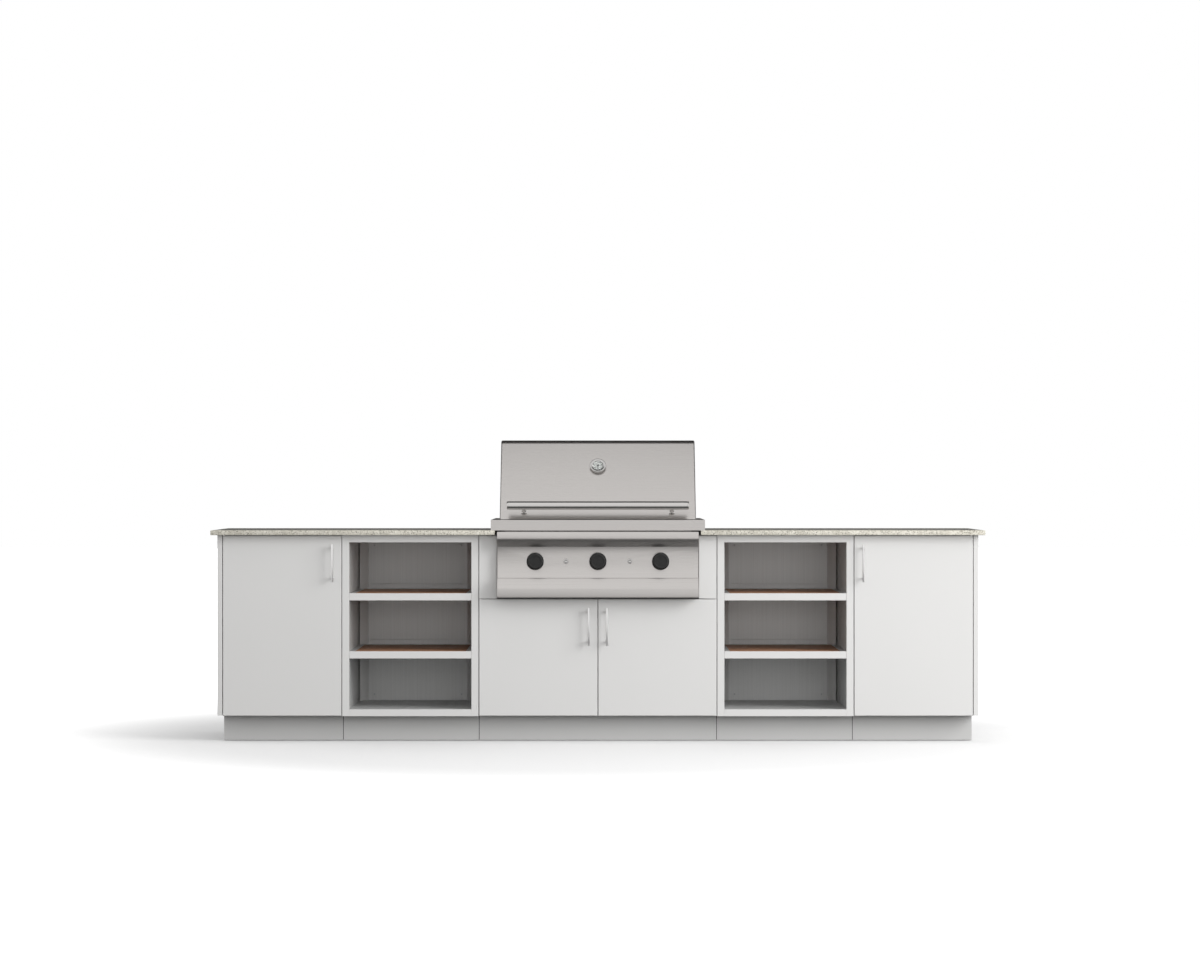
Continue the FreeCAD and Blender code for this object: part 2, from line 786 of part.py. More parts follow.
def build_burners():
    burners = []
    for x in burner_places:
        mouth_y = firebox_front - burner_mouth_length
        end_y = firebox_back - burner_end_gap
        tube = rod(burner_radius, vec(x, firebox_front - 1, control_level),
                   vec(x, end_y, control_level))
        bell = Part.makeCone(burner_mouth_radius, burner_radius, burner_mouth_length - 1,
                             vec(x, mouth_y, control_level), vec(0, 1, 0))
        bore = rod(burner_bore_radius, vec(x, mouth_y - 1, control_level),
                   vec(x, end_y - steel, control_level))
        burners.append(fused([bell, tube]).cut(bore))
    save("burners", burners)
    tents = []
    grates = []
    ledge_y0 = firebox_front + steel + tent_end_gap
    ledge_y1 = firebox_back - steel - tent_end_gap
    for x in burner_places:
        outer = [vec(x - tent_half_width, 0, 0), vec(x, 0, tent_rise),
                 vec(x + tent_half_width, 0, 0)]
        wall = steel / math.cos(math.atan2(tent_rise, tent_half_width))
        inner = [vec(x + tent_half_width - steel, 0, 0), vec(x, 0, tent_rise - wall),
                 vec(x - tent_half_width + steel, 0, 0)]
        tent = Part.Face(Part.makePolygon(outer + inner + outer[:1]))
        tent.translate(vec(0, ledge_y0, tent_ledge_level))
        tents.append(tent.extrude(vec(0, ledge_y1 - ledge_y0, 0)))
    save("heat_tents", tents)
    inner_width = 2 * (firebox_half_width - steel)
    grate_width = (inner_width - grate_gap * (grate_count + 1)) / grate_count
    for i in range(grate_count):
        x0 = -inner_width / 2 + grate_gap + i * (grate_width + grate_gap)
        grates.append(bar_plate(x0, x0 + grate_width, ledge_y0, ledge_y1, grate_ledge_level,
                                grate_thickness, grate_bars, grate_slot_width, grate_border))
    save("cooking_grates", grates)


def bar_plate(x0, x1, y0, y1, z0, thickness, bars, slot_width, border):
    # Row of bars along y between two end bars: slots at an even pitch in one plate.
    plate = box(x0, x1, y0, y1, z0, z0 + thickness)
    pitch = (x1 - x0 - slot_width) / (bars - 1)
    bar_width = pitch - slot_width
    slots = []
    for i in range(bars - 1):
        left = x0 + bar_width + i * pitch
        slots.append(box(left, left + slot_width, y0 + border, y1 - border, z0 - 1,
                         z0 + thickness + 1))
    return plate.cut(slots)


def build_drip_tray():
    # Tray hung by its rims in two angle runners under the firebox floor.
    middle = (firebox_front + firebox_back) / 2
    y0 = middle - drip_tray_width / 2
    y1 = middle + drip_tray_width / 2
    half = drip_tray_length / 2
    top = drip_tray_level + drip_tray_height
    tray = box(-half, half, y0, y1, drip_tray_level, top).cut(
        box(-half + sheet, half - sheet, y0 + sheet, y1 - sheet, drip_tray_level + sheet, top + 1))
    rims = [box(-half - drip_tray_rim, -half + sheet, y0, y1, top - sheet, top),
            box(half - sheet, half + drip_tray_rim, y0, y1, top - sheet, top)]
    save("drip_tray", fused([tray] + rims))


def drip_tray_runners():
    middle = (firebox_front + firebox_back) / 2
    y0 = middle - drip_tray_width / 2
    y1 = middle + drip_tray_width / 2
    half = drip_tray_length / 2
    top = drip_tray_level + drip_tray_height
    runner_x0 = half + drip_tray_side_gap
    runner_x1 = half + drip_tray_rim + drip_tray_side_gap
    shelf_leaf = box(runner_x0, runner_x1 + sheet, y0, y1, top - 2 * sheet, top - sheet)
    upright = box(runner_x1, runner_x1 + sheet, y0, y1, top - 2 * sheet, firebox_floor_bottom)
    foot_leaf = box(runner_x1, runner_x1 + drip_tray_rim, middle - drain_slot_width / 2,
                    middle + drain_slot_width / 2, firebox_floor_bottom - sheet,
                    firebox_floor_bottom)
    return both_sides(fused([shelf_leaf, upright, foot_leaf]))


# Control panel and what sits in it

def build_control_panel():
    # Front profile: upright strip, quarter-round in to the knob face, quarter-round out
    # again to the lower lip, then the bottom return.
    front = -panel_reach
    top_centre = vec(0, knob_panel_y, panel_top_round_level)
    bottom_centre = vec(0, knob_panel_y, panel_bottom_round_level)

    def quarter(centre, radius, upper):
        side = 1 if upper else -1
        start = centre.add(vec(0, -radius, 0))
        end = centre.add(vec(0, 0, -side * radius))
        middle = centre.add(vec(0, -radius * math.sqrt(0.5), -side * radius * math.sqrt(0.5)))
        return start, middle, end

    def outline(wall, back):
        radius = panel_recess
        top = quarter(top_centre, radius - wall, True)
        low = quarter(bottom_centre, radius - wall, False)
        face_y = knob_panel_y + wall
        f = front + wall
        z_top = counter_top - wall
        z_low = panel_bottom + wall
        upper_corner = vec(0, face_y, panel_top_round_level - radius + wall)
        lower_corner = vec(0, face_y, panel_bottom_round_level + radius - wall)
        edges = [
            Part.LineSegment(vec(0, back, z_top), vec(0, f, z_top)).toShape(),
            Part.LineSegment(vec(0, f, z_top), top[0]).toShape(),
            Part.Arc(*top).toShape(),
        ]
        at = top[2]
        for point in (upper_corner, lower_corner, low[2]):
            if point.distanceToPoint(at) > 1e-6:
                edges.append(Part.LineSegment(at, point).toShape())
                at = point
        edges.append(Part.Arc(low[2], low[1], low[0]).toShape())
        r = panel_bottom_radius - wall
        edges.append(Part.LineSegment(low[0], vec(0, f, z_low + r)).toShape())
        bend = vec(0, f + r * (1 - math.sqrt(0.5)), z_low + r * (1 - math.sqrt(0.5)))
        edges.append(Part.Arc(vec(0, f, z_low + r), bend, vec(0, f + r, z_low)).toShape())
        edges.append(Part.LineSegment(vec(0, f + r, z_low), vec(0, back, z_low)).toShape())
        edges.append(Part.LineSegment(vec(0, back, z_low), vec(0, back, z_top)).toShape())
        return Part.Wire(edges)

    body = prism(outline(0, 0), -panel_half_width, panel_half_width)
    hollow = prism(outline(steel, 1), -panel_half_width + steel, panel_half_width - steel)
    cheek_tops = box(-panel_half_width, panel_half_width, 0, panel_back, panel_bottom,
                     counter_top).cut(
        box(-panel_half_width + steel, panel_half_width - steel, -1, panel_back + 1,
            panel_bottom - 1, counter_top + 1))
    holes = [rod(stem_hole_radius, vec(x, knob_panel_y - 1, control_level),
                 vec(x, knob_panel_y + steel + 1, control_level)) for x in burner_places]
    holes += [rod(switch_barrel_radius + switch_clearance, vec(x, knob_panel_y - 1, control_level),
                  vec(x, knob_panel_y + steel + 1, control_level))
              for x in switch_places]
    save("control_panel", body.fuse(cheek_tops).cut([hollow] + holes).removeSplitter())


def turned(x, profile):
    # Solid turned about the line through x and the control level, from (y, radius) pairs.
    points = [vec(x + radius, y, control_level) for y, radius in profile]
    face = Part.Face(Part.makePolygon(points + points[:1]))
    return face.revolve(vec(x, 0, control_level), vec(0, 1, 0), 360)


def knob_shape(x, back, front, bore):
    # Round knob with a dished face, a blind bore for the stem and a pointer notch.
    floor = front + knob_dish_depth
    inner = knob_front_radius - knob_rim_width
    bore_end = front + knob_bore_cover - stem_end_gap
    knob = turned(x, [(back, bore), (back, knob_radius), (back - knob_back_band, knob_radius),
                      (front + knob_front_chamfer, knob_front_radius), (front, inner + 1),
                      (floor, inner), (floor, 0), (bore_end, 0), (bore_end, bore)])
    half = knob_pointer_width / 2
    notch = box(x - half, x + half, front - 1, floor + knob_dish_depth,
                control_level + inner - knob_pointer_length, control_level + knob_radius)
    return knob.cut(notch)


def valve_shape(x, bore, stem_back):
    half = valve_width / 2
    neck = valve_neck_width / 2
    body = box(x - half, x + half, valve_front, valve_back,
               control_level - half, control_level + half)
    foot = box(x - neck, x + neck, manifold_y - neck, manifold_y + neck,
               manifold_level, control_level - half)
    nozzle = rod(nozzle_radius, vec(x, valve_back - 1, control_level),
                 vec(x, valve_back + nozzle_length, control_level))
    seat = rod(bore, vec(x, valve_front - 1, control_level),
               vec(x, stem_back + knob_push + 1, control_level))
    saddle = rod(manifold_radius + manifold_saddle_gap, vec(x - half, manifold_y, manifold_level),
                 vec(x + half, manifold_y, manifold_level))
    return fused([body, foot, nozzle]).cut([seat, saddle])


def build_controls():
    bezel_front = knob_panel_y - bezel_thickness
    knob_back = bezel_front - knob_standoff
    knob_front = knob_back - knob_depth
    stem_front = knob_front + knob_bore_cover
    stem_back = valve_front + stem_reach
    bore = stem_radius + stem_running_clearance
    bezels = []
    valves = []
    for x, place in zip(burner_places, ("left", "middle", "right")):
        bezels.append(turned(x, [(knob_panel_y, bezel_bore_radius), (knob_panel_y, bezel_radius),
                                 (bezel_front, bezel_radius), (bezel_front, bezel_bore_radius)]))
        valves.append(valve_shape(x, bore, stem_back))
        save(place + "_knob", knob_shape(x, knob_back, knob_front, bore))
        save(place + "_valve_stem", rod(stem_radius, vec(x, stem_front, control_level),
                                        vec(x, stem_back, control_level)))
    save("knob_bezels", bezels)
    save("gas_valves", valves)


def build_switches():
    # Push buttons: a chrome sleeve with a closed barrel, and a button that slides in it.
    sleeve_front = knob_panel_y - bezel_thickness
    button_front = knob_panel_y - switch_proud
    barrel_end = knob_panel_y + switch_barrel_depth
    barrel_floor = barrel_end - switch_end_wall
    button_back = barrel_floor - switch_travel - switch_spring_room
    bore = switch_radius + switch_clearance
    sleeves = []
    for x, place in zip(switch_places, ("ignition", "light")):
        sleeves.append(turned(x, [(sleeve_front, bore), (sleeve_front, switch_bezel_radius),
                                  (knob_panel_y, switch_bezel_radius),
                                  (knob_panel_y, switch_barrel_radius),
                                  (barrel_end, switch_barrel_radius), (barrel_end, 0),
                                  (barrel_floor, 0), (barrel_floor, bore)]))
        save(place + "_button", turned(x, [(button_front, 0),
                                           (button_front, switch_radius - switch_edge),
                                           (button_front + switch_edge, switch_radius),
                                           (button_back, switch_radius), (button_back, 0)]))
    save("button_sleeves", sleeves)


def quarter_bend(start, along, centre, axis):
    # Pipe turned a quarter about an axis, from its round end face at start.
    end_face = Part.Face(Part.Wire(Part.makeCircle(inlet_pipe_radius, start, along)))
    return end_face.revolve(centre, axis, 90)


def build_gas_line():
    # Manifold along the valves, and the inlet pipe that drops and runs out at the back.
    manifold = rod(manifold_radius, vec(-manifold_half_length, manifold_y, manifold_level),
                   vec(manifold_half_length, manifold_y, manifold_level))
    save("gas_manifold", manifold)
    x_start = -manifold_half_length
    corner_x = x_start - inlet_bend_radius
    drop_z = manifold_level - inlet_bend_radius
    turn_z = inlet_level + inlet_bend_radius
    run_y = manifold_y + inlet_bend_radius
    nipple_y = box_back - inlet_nipple_length
    drop_bend = quarter_bend(vec(x_start, manifold_y, manifold_level), vec(1, 0, 0),
                             vec(x_start, manifold_y, drop_z), vec(0, -1, 0))
    rear_bend = quarter_bend(vec(corner_x, manifold_y, turn_z), vec(0, 0, 1),
                             vec(corner_x, run_y, turn_z), vec(1, 0, 0))
    drop = rod(inlet_pipe_radius, vec(corner_x, manifold_y, turn_z),
               vec(corner_x, manifold_y, drop_z))
    run = rod(inlet_pipe_radius, vec(corner_x, run_y, inlet_level),
              vec(corner_x, nipple_y, inlet_level))
    nipple = rod(inlet_nipple_radius, vec(corner_x, nipple_y, inlet_level),
                 vec(corner_x, box_back, inlet_level))
    save("gas_inlet_pipe", fused([drop_bend, drop, rear_bend, run, nipple]))


# Hood

def hood_outline():
    rise = hood_top - hood_bottom
    crest_y = hood_front_foot + rise * math.tan(slope)
    return [(hood_front_foot, hood_bottom, 0), (crest_y, hood_top, hood_top_front_radius),
            (hood_back - hood_rear_chamfer_depth, hood_top, hood_rear_radius),
            (hood_back, hood_top - hood_rear_chamfer_height, hood_rear_radius),
            (hood_back, hinge_axis_z, 0), (hinge_axis_y, hood_bottom, 0)]


def on_hood_face(level):
    return vec(0, hood_front_foot + (level - hood_bottom) * math.tan(slope), level)


def build_hood():
    outline = rounded_outline(hood_outline())
    inside = hood_half_width - steel
    skin = prism(outline, -inside, inside)
    hollow = prism(shrunk(outline, steel), -inside - 1, inside + 1)
    below = box(-inside - 1, inside + 1, hood_front_foot + steel / math.cos(slope), hood_back + 1,
                hood_bottom - 1, hood_bottom + steel + 1)
    below_axis = box(-inside - 1, inside + 1, hinge_axis_y - hood_back_opening, hood_back + 1,
                     hood_bottom - 1, hinge_axis_z)
    notches = both_sides(box(inside - hinge_notch_width, inside + 1,
                             hinge_axis_y - hinge_notch_front, hood_back + 1,
                             hood_bottom - 1, hinge_axis_z + hinge_notch_height))
    probe_point = on_hood_face(gauge_level)
    through = hood_normal * (2 * steel)
    probe_hole = rod(gauge_probe_radius + gauge_fit, probe_point.sub(through),
                     probe_point.add(through))
    save("hood_skin", skin.cut([hollow, below, below_axis, probe_hole] + notches))
    cap = prism(outline, inside, hood_half_width)
    save("hood_end_caps", both_sides(cap))

    head_x0 = inside - hinge_ear_cap_gap - hinge_ear_thickness - hinge_head_gap - hinge_head_length
    pin = fused([rod(hinge_pin_radius, vec(head_x0, hinge_axis_y, hinge_axis_z),
                     vec(inside, hinge_axis_y, hinge_axis_z)),
                 rod(hinge_head_radius, vec(head_x0, hinge_axis_y, hinge_axis_z),
                     vec(head_x0 + hinge_head_length, hinge_axis_y, hinge_axis_z))])
    save("hood_hinge_pins", both_sides(pin))

    foot = on_hood_face(handle_level - handle_standoff * math.sin(slope))
    centre = foot.add(hood_normal * handle_standoff)
    side = vec(handle_length / 2, 0, 0)
    tube = rod(handle_radius, centre.sub(side), centre.add(side))
    bore = rod(handle_radius - handle_wall, centre.sub(side).add(vec(steel, 0, 0)),
               centre.add(side).sub(vec(steel, 0, 0)))
    post_side = vec(handle_post_spacing / 2, 0, 0)
    seat = centre.sub(hood_normal * (handle_radius - 1))
    posts = [rod(handle_post_radius, foot.add(s), seat.add(s)) for s in (post_side, post_side * -1)]
    save("hood_handle", fused([tube] + posts).cut(bore))


def build_thermometer():
    # Turned about the normal of the hood's front face.
    seat = on_hood_face(gauge_level)
    placement = FreeCAD.Placement(seat, FreeCAD.Rotation(vec(0, 0, 1), hood_normal))

    def turned_out(profile):
        points = [vec(radius, 0, height) for radius, height in profile]
        solid = Part.Face(Part.makePolygon(points + points[:1])).revolve(
            vec(0, 0, 0), vec(0, 0, 1), 360)
        solid.Placement = placement
        return solid

    depth = gauge_case_depth
    floor = depth - gauge_bore_depth
    rim = depth - gauge_bezel_depth
    save("thermometer_case", turned_out([
        (0, -gauge_probe_length), (gauge_probe_radius, -gauge_probe_length), (gauge_probe_radius, 0),
        (gauge_case_radius, 0), (gauge_case_radius, rim), (gauge_bezel_radius, rim),
        (gauge_bezel_radius, depth - gauge_bezel_chamfer),
        (gauge_bezel_radius - gauge_bezel_chamfer, depth),
        (gauge_bore_radius, depth), (gauge_bore_radius, floor), (0, floor)]))
    disc = gauge_bore_radius - gauge_fit
    dial_top = floor + gauge_dial_thickness
    save("thermometer_dial", turned_out([(0, floor), (disc, floor), (disc, dial_top), (0, dial_top)]))
    lens_top = depth - gauge_lens_sink
    lens_back = lens_top - gauge_lens_thickness
    save("thermometer_lens", turned_out([(0, lens_back), (disc, lens_back), (disc, lens_top),
                                         (0, lens_top)]))
    z0 = dial_top + gauge_needle_gap
    z1 = z0 + gauge_needle_thickness
    half = gauge_needle_width / 2
    point = gauge_needle_point / 2
    # Turned half round if need be, so that it points down the face at rest.
    blade = Part.Face(Part.makePolygon([
        vec(-half, -gauge_needle_tail, z0), vec(half, -gauge_needle_tail, z0),
        vec(point, gauge_needle_length, z0), vec(-point, gauge_needle_length, z0),
        vec(-half, -gauge_needle_tail, z0)])).extrude(vec(0, 0, z1 - z0))
    hub = Part.makeCylinder(gauge_hub_radius, gauge_hub_height, vec(0, 0, z0))
    needle = fused([blade, hub])
    needle.Placement = placement
    tip = placement.multVec(vec(0, gauge_needle_length, z0))
    if tip.z > seat.z:
        needle.rotate(seat, hood_normal, 180)
    save("thermometer_needle", needle)


def build_warming_rack():
    # Rack of bars on two legs that stand on the firebox's rear flange.
    leg_y1 = firebox_back + firebox_flange - rack_leg_inset
    leg_y0 = leg_y1 - rack_leg_depth
    plate = bar_plate_along_x(-rack_half_length, rack_half_length, leg_y1 - rack_depth, leg_y1,
                              rack_level)
    foot = rim_top + steel
    legs = both_sides(box(rack_half_length - rack_leg_width, rack_half_length, leg_y0, leg_y1,
                          foot, rack_level))
    save("warming_rack", fused([plate] + legs))


def bar_plate_along_x(x0, x1, y0, y1, z0):
    plate = box(x0, x1, y0, y1, z0, z0 + rack_thickness)
    pitch = (y1 - y0 - rack_slot_width) / (rack_bars - 1)
    bar_width = pitch - rack_slot_width
    slots = []
    for i in range(rack_bars - 1):
        front = y0 + bar_width + i * pitch
        slots.append(box(x0 + rack_border, x1 - rack_border, front, front + rack_slot_width,
                         z0 - 1, z0 + rack_thickness + 1))
    return plate.cut(slots)


os.makedirs("parts", exist_ok=True)
build_cabinets()
build_filler_panels()
build_base()
build_counter()
build_doors()
build_rim()
build_firebox()
build_burners()
build_drip_tray()
build_control_panel()
build_controls()
build_switches()
build_gas_line()
build_hood()
build_thermometer()
build_warming_rack()
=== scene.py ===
import bpy
import json
import math
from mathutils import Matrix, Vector


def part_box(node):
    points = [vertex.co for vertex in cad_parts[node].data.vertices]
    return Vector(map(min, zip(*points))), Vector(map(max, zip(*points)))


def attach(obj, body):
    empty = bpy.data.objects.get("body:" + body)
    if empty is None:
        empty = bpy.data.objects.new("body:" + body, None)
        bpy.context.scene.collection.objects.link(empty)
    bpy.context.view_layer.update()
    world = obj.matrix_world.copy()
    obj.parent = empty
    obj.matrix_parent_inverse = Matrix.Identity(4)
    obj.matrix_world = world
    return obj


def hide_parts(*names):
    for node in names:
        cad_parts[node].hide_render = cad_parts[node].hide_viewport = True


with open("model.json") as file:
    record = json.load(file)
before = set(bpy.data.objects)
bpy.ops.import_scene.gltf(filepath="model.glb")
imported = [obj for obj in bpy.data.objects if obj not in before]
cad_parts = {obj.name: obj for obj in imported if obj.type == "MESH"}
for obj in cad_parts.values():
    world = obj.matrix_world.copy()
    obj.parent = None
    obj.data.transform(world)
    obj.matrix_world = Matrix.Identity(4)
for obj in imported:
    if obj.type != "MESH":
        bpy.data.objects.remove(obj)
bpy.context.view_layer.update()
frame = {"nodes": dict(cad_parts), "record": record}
nodes = frame["nodes"]
print("frame loaded:", len(nodes), "CAD nodes")


# Helpers for objects and shader nodes

def named(name):
    bpy.context.object.name = name
    return bpy.context.object


def addNode(tree, kind, **values):
    node = tree.nodes.new(kind)
    for name, value in values.items():
        if name in node.inputs:
            node.inputs[name].default_value = value
        else:
            setattr(node, name, value)
    return node


def combine(tree, operation, first, second):
    node = addNode(tree, "ShaderNodeMath", operation=operation)
    tree.links.new(first, node.inputs[0])
    if isinstance(second, float):
        node.inputs[1].default_value = second
    else:
        tree.links.new(second, node.inputs[1])
    return node.outputs[0]


def spread(tree, mask, low, high, fromLow=0.35, fromHigh=0.65, curve="LINEAR"):
    node = addNode(tree, "ShaderNodeMapRange", interpolation_type=curve)
    for label, value in (("From Min", fromLow), ("From Max", fromHigh), ("To Min", low), ("To Max", high)):
        node.inputs[label].default_value = value
    tree.links.new(mask, node.inputs["Value"])
    return node.outputs[0]


def objectPlace(tree):
    return tree.nodes.new("ShaderNodeTexCoord").outputs["Object"]


def blendColours(tree, mask, low, high):
    mix = addNode(tree, "ShaderNodeMix", data_type="RGBA")
    tree.links.new(mask, mix.inputs["Factor"])
    for socket, value in ((mix.inputs[6], low), (mix.inputs[7], high)):
        if isinstance(value, tuple):
            socket.default_value = (*value, 1)
        else:
            tree.links.new(value, socket)
    return mix.outputs[2]


def seenDirectly(tree, path):
    return combine(tree, "MAXIMUM", path.outputs["Is Camera Ray"], path.outputs["Is Transmission Ray"])


def newFinish(name, **settings):
    material = bpy.data.materials.new(name)
    material.use_nodes = True
    shader = material.node_tree.nodes["Principled BSDF"]
    for label, value in settings.items():
        shader.inputs[label.replace("_", " ")].default_value = value
    return material, material.node_tree, shader


def feed(tree, shader, **sources):
    for label, source in sources.items():
        tree.links.new(source, shader.inputs[label.replace("_", " ")])


# Camera, lamps and world

cameraSet = {"place": (0.009, -14.4, 1.109), "lens": 100.05, "sensor": 36.0, "reach": 100}

bpy.ops.object.camera_add(location=cameraSet["place"], rotation=(math.radians(90), 0, 0))
camera = named("frontCamera")
camera.data.lens = cameraSet["lens"]
camera.data.sensor_width = cameraSet["sensor"]
camera.data.clip_end = cameraSet["reach"]
bpy.context.scene.camera = camera
bpy.context.scene.view_settings.view_transform = "Standard"

lampSets = [{"name": "keyLamp", "place": (7.6, -5.1, 3.85), "aim": (0.3, 0, 0.6), "size": 6.0, "power": 730},
            {"name": "fillLamp", "place": (1.45, -5.9, 1.12), "aim": (0.4, 0, 0.6), "size": 3.0, "power": 52}]


def makeLamp(lamp):
    bpy.ops.object.light_add(type="AREA", location=lamp["place"])
    light = named(lamp["name"])
    light.data.shape = "SQUARE"
    light.data.size = lamp["size"]
    light.data.energy = lamp["power"]
    toAim = Vector(lamp["aim"]) - Vector(lamp["place"])
    light.rotation_euler = toAim.to_track_quat("-Z", "Y").to_euler()
    light.visible_camera = False
    light.visible_glossy = False


for lamp in lampSets:
    makeLamp(lamp)

worldSet = {"light": 0.71, "seen": 1.0}


def makeWorld():
    # white where it is seen or mirrored, dimmer where it lights the object
    world = bpy.data.worlds.new("studio")
    bpy.context.scene.world = world
    world.use_nodes = True
    tree = world.node_tree
    background = tree.nodes["Background"]
    background.inputs["Color"].default_value = (1, 1, 1, 1)
    path = tree.nodes.new("ShaderNodeLightPath")
    seen = combine(tree, "MAXIMUM", seenDirectly(tree, path), path.outputs["Is Glossy Ray"])
    strength = spread(tree, seen, worldSet["light"], worldSet["seen"], 0, 1)
    tree.links.new(strength, background.inputs["Strength"])


makeWorld()


# Shader groups that several finishes share

def newGroup(name, inputs, outputs):
    group = bpy.data.node_groups.new(name, "ShaderNodeTree")
    for label, value in inputs.items():
        kind = "NodeSocketVector" if isinstance(value, tuple) else "NodeSocketFloat"
        socket = group.interface.new_socket(name=label, in_out="INPUT", socket_type=kind)
        socket.default_value = value
    for label in outputs:
        kind = "NodeSocketVector" if label == "Normal" else "NodeSocketFloat"
        group.interface.new_socket(name=label, in_out="OUTPUT", socket_type=kind)
    return group, group.nodes.new("NodeGroupInput"), group.nodes.new("NodeGroupOutput")


def bumpFrom(group, source, height, result):
    link = group.links.new
    bump = group.nodes.new("ShaderNodeBump")
    link(height, bump.inputs["Height"])
    link(source.outputs["Bump"], bump.inputs["Strength"])
    link(source.outputs["Depth"], bump.inputs["Distance"])
    link(height, result.inputs["Mask"])
    link(bump.outputs["Normal"], result.inputs["Normal"])


def makeGrainGroup():
    # even noise in object space: a mask for colour and roughness, and a bumped normal
    group, source, result = newGroup(
        "fineGrain", {"Scale": 400.0, "Detail": 3.0, "Bump": 0.1, "Depth": 0.0003}, ("Mask", "Normal"))
    link = group.links.new
    noise = group.nodes.new("ShaderNodeTexNoise")
    link(objectPlace(group), noise.inputs["Vector"])
    link(source.outputs["Scale"], noise.inputs["Scale"])
    link(source.outputs["Detail"], noise.inputs["Detail"])
    bumpFrom(group, source, noise.outputs["Fac"], result)
    return group


def makeBrushGroup():
    # long thin streaks along one direction, as a belt leaves on steel
    group, source, result = newGroup(
        "brushLines", {"Stretch": (2.0, 300.0, 700.0), "Bump": 0.1, "Depth": 0.0002},
        ("Mask", "Cloud", "Normal"))
    link = group.links.new
    place = objectPlace(group)
    mapping = group.nodes.new("ShaderNodeMapping")
    link(place, mapping.inputs["Vector"])
    link(source.outputs["Stretch"], mapping.inputs["Scale"])
    streaks = addNode(group, "ShaderNodeTexNoise", Scale=1.0, Detail=4.0, Roughness=0.65)
    link(mapping.outputs["Vector"], streaks.inputs["Vector"])
    cloud = addNode(group, "ShaderNodeTexNoise", Scale=3.0, Detail=2.0)
    link(place, cloud.inputs["Vector"])
    link(cloud.outputs["Fac"], result.inputs["Cloud"])
    bumpFrom(group, source, streaks.outputs["Fac"], result)
    return group


def makeSpeckGroup():
    # scattered grains of one size: 1 inside a grain, 0 between them
    group, source, result = newGroup("stoneSpecks", {"Scale": 200.0, "Share": 0.3}, ("Mask",))
    link = group.links.new
    cells = group.nodes.new("ShaderNodeTexVoronoi")
    link(objectPlace(group), cells.inputs["Vector"])
    link(source.outputs["Scale"], cells.inputs["Scale"])
    split = group.nodes.new("ShaderNodeSeparateColor")
    link(cells.outputs["Color"], split.inputs["Color"])
    inGrain = combine(group, "LESS_THAN", split.outputs["Red"], source.outputs["Share"])
    link(inGrain, result.inputs["Mask"])
    return group


fineGrain = makeGrainGroup()
brushLines = makeBrushGroup()
stoneSpecks = makeSpeckGroup()


def placeGroup(tree, group, **values):
    return addNode(tree, "ShaderNodeGroup", node_tree=group, **values)


# Finishes

# the second coat is the powder coat made darker, as painted shade for the toe kicks in their recess under the
# cabinets
coatSets = {"powderCoat": ((0.71, 0.705, 0.695), (0.74, 0.735, 0.725)),
            "kickPaintedShadeCoat": ((0.56, 0.558, 0.55), (0.59, 0.588, 0.58))}
coatGrain = {"scale": 900.0, "bump": 0.12, "drift": 1.7, "rough": (0.42, 0.52), "gloss": 0.35}


def coatNodes(tree, name):
    # the coat's colour drifts slowly over the sheet, under a fine even texture
    texture = placeGroup(tree, fineGrain, Scale=coatGrain["scale"], Bump=coatGrain["bump"])
    drift = placeGroup(tree, fineGrain, Scale=coatGrain["drift"], Detail=2.0, Bump=0.0)
    return blendColours(tree, drift.outputs["Mask"], *coatSets[name]), texture


def makePowderCoat(name):
    material, tree, shader = newFinish(name, Specular_IOR_Level=coatGrain["gloss"])
    colour, texture = coatNodes(tree, name)
    rough = spread(tree, texture.outputs["Mask"], *coatGrain["rough"])
    feed(tree, shader, Base_Color=colour, Roughness=rough, Normal=texture.outputs["Normal"])
    return material


# darker and lighter colour, roughness from and to, and how fine the streaks are along x, y and z
steelSets = {
    "brushedSteel": ((0.57, 0.547, 0.53), (0.60, 0.577, 0.56), (0.27, 0.34), (1.5, 900.0, 1200.0)),
    "tubeSteel": ((0.57, 0.555, 0.54), (0.66, 0.645, 0.63), (0.10, 0.17), (1.5, 900.0, 1200.0)),
    "plainSteel": ((0.46, 0.45, 0.44), (0.56, 0.55, 0.54), (0.27, 0.34), (120.0, 120.0, 3.0)),
    "bareSheet": ((0.56, 0.56, 0.555), (0.64, 0.64, 0.635), (0.42, 0.50), (900.0, 900.0, 1.5))}
brushBump = 0.06


def steelNodes(tree, name):
    low, high, rough, stretch = steelSets[name]
    lines = placeGroup(tree, brushLines, Stretch=stretch, Bump=brushBump)
    colour = blendColours(tree, spread(tree, lines.outputs["Mask"], 0, 1), low, high)
    return colour, spread(tree, lines.outputs["Mask"], *rough), lines.outputs["Normal"]


def makeBrushedSteel(name):
    material, tree, shader = newFinish(name, Metallic=1.0)
    colour, rough, normal = steelNodes(tree, name)
    feed(tree, shader, Base_Color=colour, Roughness=rough, Normal=normal)
    return material


# how metallic the bare sheet is, and where it begins behind the front edges and ends inside the back
bareSet = {"shell": 0.45, "floor": 0.15, "edge": 0.002, "skin": 0.0008, "fade": 0.0004}


